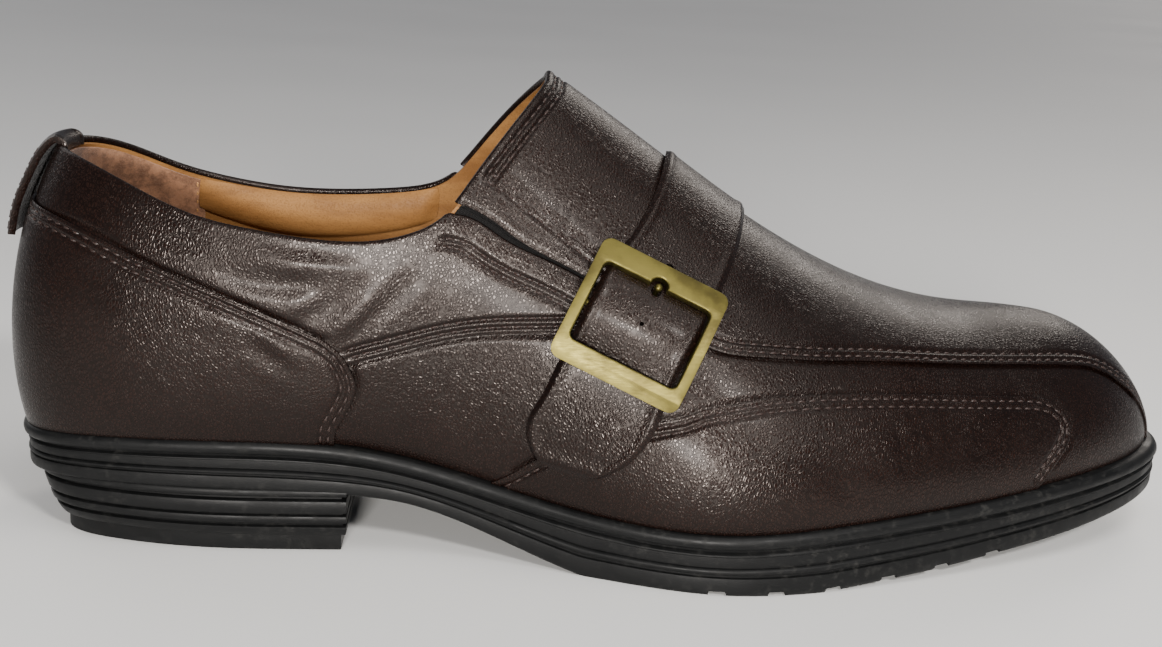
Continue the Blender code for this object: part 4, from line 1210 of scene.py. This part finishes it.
def buckle_frame(finishes):
    """The square brass frame: bars of its own four widths, a bright inner bevel, bowed along the strap."""
    width, height = BUCKLE_OUTER
    heel_bar, top_bar, toe_bar, low_bar = BUCKLE_BARS
    plate = blocked((width, height, BUCKLE_THICK), BUCKLE_CORNER)
    middle = ((heel_bar - toe_bar) / 2, (low_bar - top_bar) / 2, 0)
    window_size = (width - heel_bar - toe_bar, height - top_bar - low_bar, 3 * BUCKLE_THICK)
    cut_by(plate, blocked(window_size, WINDOW_CORNER, middle, segments=5))
    cut_by(plate, rod(NOTCH_RADIUS, 3 * BUCKLE_THICK, (0, height / 2 - top_bar, 0), vertices=28))
    top = BUCKLE_THICK / 2 - 0.01

    def on_face(a, b):
        return min(a.z, b.z) > top

    def inner(a, b):
        x, y = (a.x + b.x) / 2, (a.y + b.y) / 2
        left, right = -width / 2 + heel_bar, width / 2 - toe_bar
        low, high = -height / 2 + low_bar, height / 2 - top_bar
        in_window = left - 0.1 < x < right + 0.1 and low - 0.1 < y < high + 0.1
        return on_face(a, b) and (in_window or math.hypot(x, y - high) < NOTCH_RADIUS + 0.1)

    def rim(a, b):
        return on_face(a, b) and not inner(a, b)

    for edges, offset in zip((inner, rim), BUCKLE_BEVELS):
        bevel_where(plate, edges, offset, 3)
    for row in np.linspace(-height / 2, height / 2, 22)[1:-1]:
        edited(plate, (bpy.ops.mesh.bisect, {"plane_co": (0, row * MM, 0), "plane_no": (0, 1, 0)}))
    bowed_on(plate, BUCKLE_HEIGHT - BUCKLE_THICK / 2)
    smoothed(plate, 32)
    return finished(named(plate, "buckle_frame"), "antique_brass", *finishes, replaces=("buckle",))


def centre_bar(finishes):
    """The rod under the strap, with the lug at each end that carries it."""
    reach = BUCKLE_OUTER[0] / 2 - LUG_INSET
    bar = placed(rod(CENTRE_BAR_RADIUS, 2 * reach, (0, 0, CENTRE_BAR_HEIGHT), rotation=(0, math.pi / 2, 0)))
    pieces = [eased(bar, 0.2, angle=60)]
    foot, top = CENTRE_BAR_HEIGHT - 0.6, BUCKLE_HEIGHT - 0.9
    for sign in (-1, 1):
        lug = blocked((*LUG_SIZE, top - foot), 0.7, (sign * reach, 0, (top + foot) / 2), segments=3)
        pieces.append(eased(lug, 0.3, angle=60))
    bar = joined("buckle_centre_bar", pieces)
    bar.data.transform(BUCKLE_PLACE)
    smoothed(bar, 35)
    return finished(bar, "antique_brass", *finishes)


def prong(finishes):
    """The pin, looped round the centre bar, out through the strap and down on its seat."""
    rows, columns = PRONG_GRID
    share = np.linspace(0, 1, rows)
    route = Line(np.arange(len(PRONG_ROUTE)), PRONG_ROUTE)(share * (len(PRONG_ROUTE) - 1))
    tangent = unit(np.gradient(route, axis=0))
    girth = 0.6 + 0.4 * np.clip((share - 0.75) / 0.15, 0, 1) + ridge(share, 1.0, 0.03, -0.35)
    around = np.linspace(0, 2 * math.pi, columns)[:, None]
    sideways, outwards = girth * np.cos(around), girth * np.sin(around)
    up, away = route[:, 0] - tangent[:, 1] * outwards, route[:, 1] + tangent[:, 0] * outwards
    pin = closed(sheet_of("prong_pin", np.stack([sideways, up, away], axis=-1) + ORIGIN))
    pin.data.transform(BUCKLE_PLACE)
    smoothed(pin, 60)
    return finished(pin, "antique_brass", *finishes, replaces=("prong",))


def pull_tab(finishes):
    """The loop of leather over the back of the collar."""
    knots = np.array(TAB_ROUTE)
    reach = reach_of(knots)
    curve = Line(reach, knots)
    rows, columns = TAB_GRID
    along = np.linspace(0, reach[-1], rows)
    route = curve(along)
    tangent = unit(np.gradient(route, axis=0))
    normal = np.stack([tangent[:, 1], -tangent[:, 0]], axis=-1)
    across = np.linspace(-TAB_WIDTH / 2, TAB_WIDTH / 2, columns)
    edge = TAB_WIDTH / 2 - np.abs(across)
    points = np.zeros((len(along), len(across), 3))
    groove = ridge(edge, TAB_ROW_INSET, 0.45, -0.28) + ridge(edge, 0.0, 0.5, -0.2)
    points[..., 0] = route[:, :1] + TAB_CURVE * across**2 + normal[:, :1] * groove
    points[..., 1] = across
    points[..., 2] = route[:, 1:] + normal[:, 1:] * groove
    piece = leathered(sheet_of("pull_tab_leather", points[:, ::-1]), TAB_THICK, 0.3)
    finished(piece, "dark_brown_leather", *finishes, replaces=("pull_tab",))
    far = np.arange(0.35 * reach[-1], reach[-1] - 2.0, STITCH_PITCH)
    runs = unit(curve(far + 0.2) - curve(far - 0.2))
    outs = np.stack([runs[:, 1], -runs[:, 0]], axis=-1)
    seat = curve(far) - TAB_STITCH_SINK * outs
    spots = [
        np.stack([seat[:, 0] + TAB_CURVE * y * y, np.full(len(far), y), seat[:, 1]], axis=-1)
        for y in (TAB_ROW_INSET - TAB_WIDTH / 2, TAB_WIDTH / 2 - TAB_ROW_INSET)]
    forwards, normals = (np.tile(np.insert(flat, 1, 0.0, axis=1), (2, 1)) for flat in (runs, outs))
    thread("pull_tab_stitches", np.concatenate(spots), forwards, -normals, THREAD)
    return piece


def closed(piece):
    """Joins a wall's first and last columns, caps its ends and turns its faces outward."""
    return edited(
        piece,
        (bpy.ops.mesh.remove_doubles, {"threshold": WELD * MM}),
        (bpy.ops.mesh.fill_holes, {"sides": 0}),
        (bpy.ops.mesh.normals_make_consistent, {"inside": False}),
    )


def moulded(name, points, finishes, **stands_for):
    """A rubber piece from the grid of its whole outside."""
    piece = smoothed(closed(sheet_of(name, points)), 42)
    return finished(piece, "black_rubber", *finishes, **stands_for)


def sole_shares():
    """The shares of the last at which the sole has a column: pairs of them beside each groove's edges."""
    half_width = TREAD_GROOVE[0]
    shares = list(np.linspace(0, 1, SOLE_COLUMNS))
    for x in TREAD_GROOVES_X:
        edges = np.array([x - half_width - 0.15, x - half_width, x + half_width, x + half_width + 0.15])
        pairs = s_where(LATERAL, np.zeros(4), edges)
        shares = [s for s in shares if not pairs[0] - 0.001 < s < pairs[-1] + 0.001] + list(pairs)
    return np.array(sorted(shares))


def sole_wall(side, s):
    """The rows down one side of the sole, the height of its tread, and x along it."""
    half_width, depth = TREAD_GROOVE
    x, _, feather_z = LAST[side][0](s).T
    feather_z = feather_z - SOLE_GAP
    floor = np.maximum(over_first(BOTTOM_EDGE, 1)(x)[:, 0], 0.0)
    notch = np.zeros_like(x)
    for groove in TREAD_GROOVES_X:
        notch[np.abs(x - groove) < half_width + 0.05] = depth
    full = SOLE_SIDE[-1][0]
    squeeze = (feather_z - floor - SOLE_BEAD_DEPTH) / (full - SOLE_BEAD_DEPTH)
    forward = np.clip(edge_out(side, s, np.zeros(s.shape))[1][:, 0], 0, 1) ** 2
    rows = []
    for down, out in SOLE_SIDE:
        flare = np.interp(down, (0, SOLE_BEAD_DEPTH), SOLE_TOE_FLARE)
        point = edge_out(side, s, out + flare * forward)[0]
        lower = down if down <= SOLE_BEAD_DEPTH else SOLE_BEAD_DEPTH + (down - SOLE_BEAD_DEPTH) * squeeze
        point[:, 2] = np.maximum(feather_z - lower, floor + notch + (full - down) * 0.02)
        rows.append(point)
    return rows, floor + notch, x


def sole(finishes):
    """The unit sole: a half-round bead, bands and ribs down its side, and grooves across its tread."""
    s = sole_shares()
    walls = {side: sole_wall(side, s) for side in SIDES}
    start_x, end_x, channel = TREAD_CHANNEL
    grids = []
    for side in SIDES:
        rows, raised, x = walls[side]
        others = walls[-side][0]
        top_centre = (rows[0] + others[0]) / 2
        low_centre = (rows[-1] + others[-1]) / 2
        column = [top_centre, rows[0] * 0.5 + top_centre * 0.5] + rows
        lug_zone = (x > start_x) & (x < end_x)
        for share in TREAD_ACROSS[1:]:
            point = rows[-1] * (1 - share) + low_centre * share
            point[:, 2] = raised + np.where(lug_zone & (share in TREAD_ACROSS[3:5]), channel, 0.0)
            column.append(point)
        grids.append(np.stack(column, axis=1))
    return moulded("sole_unit", np.concatenate([grids[0], grids[1][::-1][1:]]), finishes, replaces=("sole",))


def heel_ring(z, shape, out):
    """One level line round the heel and across its breast."""
    side_in, back_in, breast_in = shape
    columns, breast_columns = HEEL_COLUMNS
    ends = {}
    for side in SIDES:
        breast_s = s_where(side, np.array([0.0]), np.array([BREAST_X]))[0]
        s = np.linspace(0, breast_s, columns)
        away = edge_out(side, s, np.zeros(s.shape))[1]
        backward = np.clip(-away[:, 0], 0, 1)
        inset = side_in + (back_in - side_in) * backward**1.5
        line = edge_out(side, s, HEEL_OUT - inset + out)[0]
        line[-1, 0] = BREAST_X - breast_in + min(out, 0.0)
        line[-2, 0] = min(line[-2, 0], line[-1, 0] - 0.5)
        line[-1] = line[-1] * 0.97 + line[-2] * 0.03
        line[:, 2] = z
        ends[side] = line
    share = np.linspace(0, 1, breast_columns)[1:-1, None]
    breast = ends[LATERAL][-1] * (1 - share) + ends[MEDIAL][-1] * share
    return np.concatenate([ends[LATERAL], breast, ends[MEDIAL][::-1]])


def heel(finishes):
    """The heel block with its moulded bands, raked at the back."""
    shape = Line([-row[0] for row in HEEL_SHAPE], [row[1:] for row in HEEL_SHAPE])
    rings = [heel_ring(z, shape(np.array(-z)), out) for z, out in HEEL_BANDS]
    return moulded("heel_block", np.stack(rings, axis=1), finishes)


def top_lift(finishes):
    """The wearing layer under the heel, set in from the block, with a shallow tread pressed into it."""
    rings = [heel_ring(z, TOP_LIFT_SHAPE, -further) for z, further in TOP_LIFT]
    outline, middle = rings[-1], rings[-1].mean(axis=0)
    rings += [middle + (outline - middle) * share + (0, 0, z) for share, z in LIFT_TREAD]
    return moulded("heel_top_lift", np.stack(rings, axis=1), finishes)


class Finish:
    """A material built node by node, on object coordinates."""

    def __init__(self, name, **constants):
        self.material = bpy.data.materials.new(name)
        self.material.use_nodes = True
        self.tree = self.material.node_tree
        self.shader = self.tree.nodes["Principled BSDF"]
        for key, value in constants.items():
            self.shader.inputs[key.replace("_", " ")].default_value = value
        self.place = self.tree.nodes.new("ShaderNodeTexCoord").outputs["Object"]

    def add(self, kind, inputs=None, **settings):
        node = self.tree.nodes.new(kind)
        for key, value in settings.items():
            setattr(node, key, value)
        for key, value in (inputs or {}).items():
            if isinstance(value, bpy.types.NodeSocket):
                self.tree.links.new(value, node.inputs[key])
            else:
                node.inputs[key].default_value = value
        return node

    def noise(self, scale, detail=3.0, roughness=0.55, place=None):
        inputs = {"Vector": place or self.place, "Scale": scale, "Detail": detail, "Roughness": roughness}
        return self.add("ShaderNodeTexNoise", inputs).outputs["Fac"]

    def stretched(self, scale, turn=(0, 0, 0)):
        inputs = {"Vector": self.place, "Scale": scale, "Rotation": [math.radians(angle) for angle in turn]}
        return self.add("ShaderNodeMapping", inputs).outputs["Vector"]

    def levels(self, value, low, high, to_low=0.0, to_high=1.0):
        inputs = {"Value": value, "From Min": low, "From Max": high, "To Min": to_low, "To Max": to_high}
        return self.add("ShaderNodeMapRange", inputs, interpolation_type="SMOOTHSTEP").outputs["Result"]

    def times(self, a, b):
        return self.add("ShaderNodeMath", {0: a, 1: b}, operation="MULTIPLY").outputs["Value"]

    def plus(self, a, b):
        return self.add("ShaderNodeMath", {0: a, 1: b}, operation="ADD").outputs["Value"]

    def blend(self, factor, a, b):
        node = self.add("ShaderNodeMix", {0: factor}, data_type="RGBA")
        for socket, value in ((node.inputs[6], a), (node.inputs[7], b)):
            if isinstance(value, bpy.types.NodeSocket):
                self.tree.links.new(value, socket)
            else:
                socket.default_value = (*value, 1)
        return node.outputs[2]

    def bump(self, height, strength, distance):
        inputs = {"Height": height, "Strength": strength, "Distance": distance * MM}
        return self.add("ShaderNodeBump", inputs).outputs["Normal"]

    def drive(self, **sockets):
        for key, socket in sockets.items():
            self.tree.links.new(socket, self.shader.inputs[key.replace("_", " ")])
        return self.material


def leather_finish(deep, lit):
    """Polished calf: rounded pebbles with shade painted into the creases between them, cloudy colour, thin
    scuffs and a thin coat.
    """
    hide = Finish("dark_brown_leather", Coat_Weight=0.03, Coat_Roughness=0.2, Specular_IOR_Level=0.23,
                  Specular_Tint=(1.0, 0.88, 0.82, 1.0))
    wander = hide.times(hide.noise(300.0, 2.0), 0.0012)
    warp = hide.add("ShaderNodeVectorMath", {0: hide.stretched((1.0, 1.0, 0.72), (0, 28, 0)), 1: wander},
                    operation="ADD").outputs["Vector"]
    cells = hide.add("ShaderNodeTexVoronoi", {"Vector": warp, "Scale": 1450.0}, feature="DISTANCE_TO_EDGE")
    pebble = hide.levels(cells.outputs["Distance"], 0.0, 0.33)
    worn = hide.levels(hide.noise(42.0, 3.0), 0.30, 0.70, 0.65, 1.0)
    fine = hide.plus(hide.times(hide.noise(1500.0, 2.0), 0.15), hide.times(hide.noise(4200.0, 2.0), 0.15))
    height = hide.plus(hide.times(pebble, worn), fine)
    colour = hide.blend(hide.levels(hide.noise(24.0, 4.0), 0.32, 0.68), deep, lit)
    # The creases between the pebbles: this mask paints shade into the colour there and also raises the
    # roughness.
    crease_shade = hide.levels(pebble, 0.15, 0.85, 1.0, 0.0)
    # Painted shade: the creases are darkened towards a fifth of the deep colour.
    colour = hide.blend(hide.times(crease_shade, 0.75), colour, [value * 0.2 for value in deep])
    scuff = hide.times(hide.levels(hide.noise(330.0, 6.0, 0.7), 0.66, 0.76),
                       hide.levels(hide.noise(17.0, 2.0), 0.60, 0.70, 0.0, 0.25))
    colour = hide.blend(scuff, colour, (0.12, 0.075, 0.06))
    rough = hide.levels(hide.noise(58.0, 3.0), 0.3, 0.7, 0.17, 0.28)
    rough = hide.plus(rough, hide.times(crease_shade, 0.15))
    return hide.drive(
        Base_Color=colour, Roughness=hide.plus(rough, hide.times(scuff, 0.3)),
        Normal=hide.bump(height, 1.0, 0.056))


def edge_finish():
    """The raw and inked cut edge of the leather."""
    edge = Finish("leather_cut_edge", Specular_IOR_Level=0.35)
    fibres = edge.noise(2600.0, 4.0, 0.7, edge.stretched((1, 1, 3)))
    ink = edge.levels(edge.noise(160.0), 0.3, 0.7)
    colour = edge.blend(ink, (0.060, 0.034, 0.024), (0.180, 0.112, 0.076))
    return edge.drive(Base_Color=edge.blend(fibres, colour, (0.055, 0.03, 0.022)),
                      Normal=edge.bump(fibres, 0.7, 0.08),
                      Roughness=edge.levels(fibres, 0.2, 0.8, 0.55, 0.8))


def thread_finish(name, dark, light):
    """Waxed twisted thread."""
    twist = Finish(name, Sheen_Weight=0.03, Specular_IOR_Level=0.4)
    strands = twist.add("ShaderNodeTexWave", {"Vector": twist.place, "Scale": 900.0, "Distortion": 2.5},
                        bands_direction="DIAGONAL").outputs["Fac"]
    return twist.drive(Base_Color=twist.blend(strands, dark, light), Normal=twist.bump(strands, 0.6, 0.08),
                       Roughness=twist.levels(twist.noise(500.0), 0.3, 0.7, 0.34, 0.48))


def lining_finish(name, deep, lit, gloss):
    """Smooth vegetable-tanned lining, with pores and soft stretch marks."""
    hide = Finish(name, Specular_IOR_Level=0.22)
    pores = hide.levels(hide.noise(2300.0, 3.0, 0.6), 0.30, 0.55)
    stretch = hide.noise(75.0, 5.0, 0.6, hide.stretched((0.55, 1, 2.2)))
    colour = hide.blend(hide.levels(stretch, 0.3, 0.7), deep, lit)
    colour = hide.blend(hide.levels(pores, 0, 1, 0.35, 0.0), colour, [value * 0.6 for value in deep])
    height = hide.plus(pores, hide.times(stretch, 3.0))
    return hide.drive(Base_Color=colour, Normal=hide.bump(height, 0.5, 0.09),
                      Roughness=hide.levels(stretch, 0.3, 0.7, gloss, gloss + 0.14))


def suede_finish():
    """Napped suede, brushed in patches."""
    suede = Finish("suede_heel_grip", Sheen_Weight=0.35, Sheen_Roughness=0.5, Specular_IOR_Level=0.15)
    nap = suede.noise(2600.0, 4.0, 0.75)
    brushed = suede.levels(suede.noise(210.0, 6.0, 0.72), 0.40, 0.60)
    colour = suede.blend(brushed, (0.13, 0.056, 0.026), (0.36, 0.175, 0.090))
    colour = suede.blend(suede.levels(nap, 0.3, 0.7, 0.0, 0.4), colour, (0.42, 0.24, 0.15))
    return suede.drive(Base_Color=colour, Normal=suede.bump(nap, 0.9, 0.22),
                       Roughness=suede.levels(nap, 0.3, 0.7, 0.85, 1.0))


def elastic_finish():
    """Black woven elastic."""
    web = Finish("woven_elastic", Sheen_Weight=0.04, Specular_IOR_Level=0.15)
    picks = web.add("ShaderNodeTexWave", {"Vector": web.stretched((1, 1, 1), (0, 25, 0)), "Scale": 620.0,
                                          "Distortion": 0.6}, bands_direction="X").outputs["Fac"]
    yarn = web.noise(2500.0, 3.0, 0.7)
    colour = web.blend(yarn, (0.003, 0.003, 0.003), (0.012, 0.011, 0.011))
    return web.drive(Base_Color=colour, Normal=web.bump(web.plus(picks, yarn), 0.8, 0.12),
                     Roughness=web.levels(yarn, 0.2, 0.8, 0.65, 0.9))


def rubber_finish():
    """Moulded black rubber with a satin skin, patches of dust and a few rubs."""
    rubber = Finish("moulded_rubber", Specular_IOR_Level=0.2)
    grain = rubber.noise(1900.0, 3.0, 0.6)
    dust = rubber.times(rubber.levels(rubber.noise(420.0, 5.0, 0.7), 0.50, 0.74),
                        rubber.levels(rubber.noise(26.0, 3.0), 0.40, 0.66, 0.1, 0.6))
    rubs = rubber.noise(90.0, 6.0, 0.7, rubber.stretched((0.25, 1, 2.0)))
    scuff = rubber.levels(rubs, 0.58, 0.72, 0.0, 0.35)
    colour = rubber.blend(rubber.noise(60.0), (0.0022, 0.0024, 0.0025), (0.0048, 0.0050, 0.0053))
    colour = rubber.blend(scuff, colour, (0.016, 0.0165, 0.017))
    colour = rubber.blend(rubber.times(dust, 0.35), colour, (0.09, 0.087, 0.08))
    rough = rubber.levels(rubber.noise(130.0, 4.0), 0.3, 0.7, 0.40, 0.58)
    return rubber.drive(Base_Color=colour, Normal=rubber.bump(grain, 0.5, 0.05),
                        Roughness=rubber.plus(rough, rubber.times(dust, 0.5)))


def brass_finish():
    """Brushed antique brass, darker and browner where it has toned."""
    brass = Finish("antique_brass", Metallic=1.0)
    brushed = brass.noise(420.0, 4.0, 0.65, brass.stretched((1.0, 1.0, 9.0), (0, -24, 0)))
    toned = brass.levels(brass.noise(120.0, 4.0, 0.6), 0.38, 0.66)
    colour = brass.blend(toned, (0.128, 0.108, 0.031), (0.074, 0.061, 0.020))
    speck = brass.levels(brass.noise(900.0, 3.0, 0.7), 0.66, 0.74, 0.0, 0.6)
    colour = brass.blend(speck, colour, (0.14, 0.10, 0.05))
    return brass.drive(Base_Color=colour, Normal=brass.bump(brushed, 0.3, 0.02),
                       Roughness=brass.levels(brushed, 0.3, 0.7, 0.38, 0.50))


def floor_finish():
    floor = Finish("pale_floor", Specular_IOR_Level=0.3)
    tone = floor.noise(3.0, 2.0)
    return floor.drive(Base_Color=floor.blend(tone, (0.84, 0.84, 0.83), (0.88, 0.88, 0.87)),
                       Roughness=floor.levels(tone, 0.3, 0.7, 0.55, 0.62))


def lamp(name, kind, place, aim, energy, tint):
    """Hangs a light at its place, turned to its aim."""
    data = bpy.data.lights.new(name, kind)
    data.energy, data.color = energy, tint
    light = bpy.data.objects.new(name, data)
    bpy.context.scene.collection.objects.link(light)
    light.location = place
    light.rotation_euler = (Vector(aim) - Vector(place)).to_track_quat("-Z", "Y").to_euler()
    return data


def set_stage():
    """A pale floor, soft studio light and the camera."""
    floor = added(bpy.ops.mesh.primitive_plane_add, size=30)
    floor.name = "floor"
    floor.data.materials.append(floor_finish())
    world = bpy.data.worlds.new("studio")
    bpy.context.scene.world = world
    world.use_nodes = True
    background = world.node_tree.nodes["Background"]
    background.inputs["Color"].default_value = (0.86, 0.90, 1.0, 1)
    background.inputs["Strength"].default_value = 0.19
    for name, place, aim, size, energy, tint in LIGHTS:
        data = lamp(name, "AREA", place, aim, energy, tint)
        data.shape = "RECTANGLE"
        data.size, data.size_y = size
    for name, place, energy, width, tint in DISTANT:
        lamp(name, "SUN", place, (0, 0, 0), energy, tint).angle = math.radians(width)
    yaw, pitch, roll = (math.radians(angle) for angle in CAMERA_TURN)
    forward = Vector((math.sin(yaw) * math.cos(pitch), math.cos(yaw) * math.cos(pitch), -math.sin(pitch)))
    right = Vector((math.cos(yaw), -math.sin(yaw), 0))
    up = right.cross(forward)
    right, up = right * math.cos(roll) + up * math.sin(roll), up * math.cos(roll) - right * math.sin(roll)
    data = bpy.data.cameras.new("camera")
    data.lens = CAMERA_LENS
    data.clip_start = 0.01
    camera = bpy.data.objects.new("camera", data)
    bpy.context.scene.collection.objects.link(camera)
    turned = Matrix((right, up, -forward)).transposed().to_4x4()
    camera.matrix_world = Matrix.Translation(Vector(CAMERA_AT) * MM) @ turned
    bpy.context.scene.camera = camera


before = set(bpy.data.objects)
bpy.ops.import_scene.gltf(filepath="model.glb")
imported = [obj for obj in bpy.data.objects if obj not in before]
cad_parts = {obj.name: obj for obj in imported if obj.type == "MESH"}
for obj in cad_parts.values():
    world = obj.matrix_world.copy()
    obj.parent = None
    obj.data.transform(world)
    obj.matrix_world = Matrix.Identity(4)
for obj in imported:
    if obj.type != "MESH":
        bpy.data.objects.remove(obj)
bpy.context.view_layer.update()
set_stage()

THREAD = thread_finish("waxed_thread", (0.0110, 0.0056, 0.0044), (0.0360, 0.0190, 0.0150))
LIGHT_THREAD = thread_finish("tan_thread", (0.36, 0.16, 0.05), (0.62, 0.34, 0.13))
LEATHER = leather_finish((0.0066, 0.0027, 0.0020), (0.0120, 0.0054, 0.0040))
EDGE = edge_finish()
TAN = lining_finish("tan_lining", (0.20, 0.088, 0.025), (0.32, 0.155, 0.048), 0.5)
SOCK = lining_finish("tan_sock", (0.30, 0.145, 0.055), (0.42, 0.225, 0.095), 0.52)
RUBBER = rubber_finish()
BRASS = brass_finish()

vamp((LEATHER, EDGE))
quarters((LEATHER, LEATHER))
heel_counter((LEATHER, EDGE))
for side in SIDES:
    side_panel(side, (LEATHER, EDGE))
    wing(side, (LEATHER, EDGE))
    gore(side, (elastic_finish(),))
    collar_roll(side, (TAN,))
lining((TAN,))
heel_grip((suede_finish(),))
insole_sock((SOCK,))
strap((LEATHER,))
buckle_frame((BRASS,))
centre_bar((BRASS,))
prong((BRASS,))
pull_tab((LEATHER, EDGE))
sole((RUBBER,))
heel((RUBBER,))
top_lift((RUBBER,))
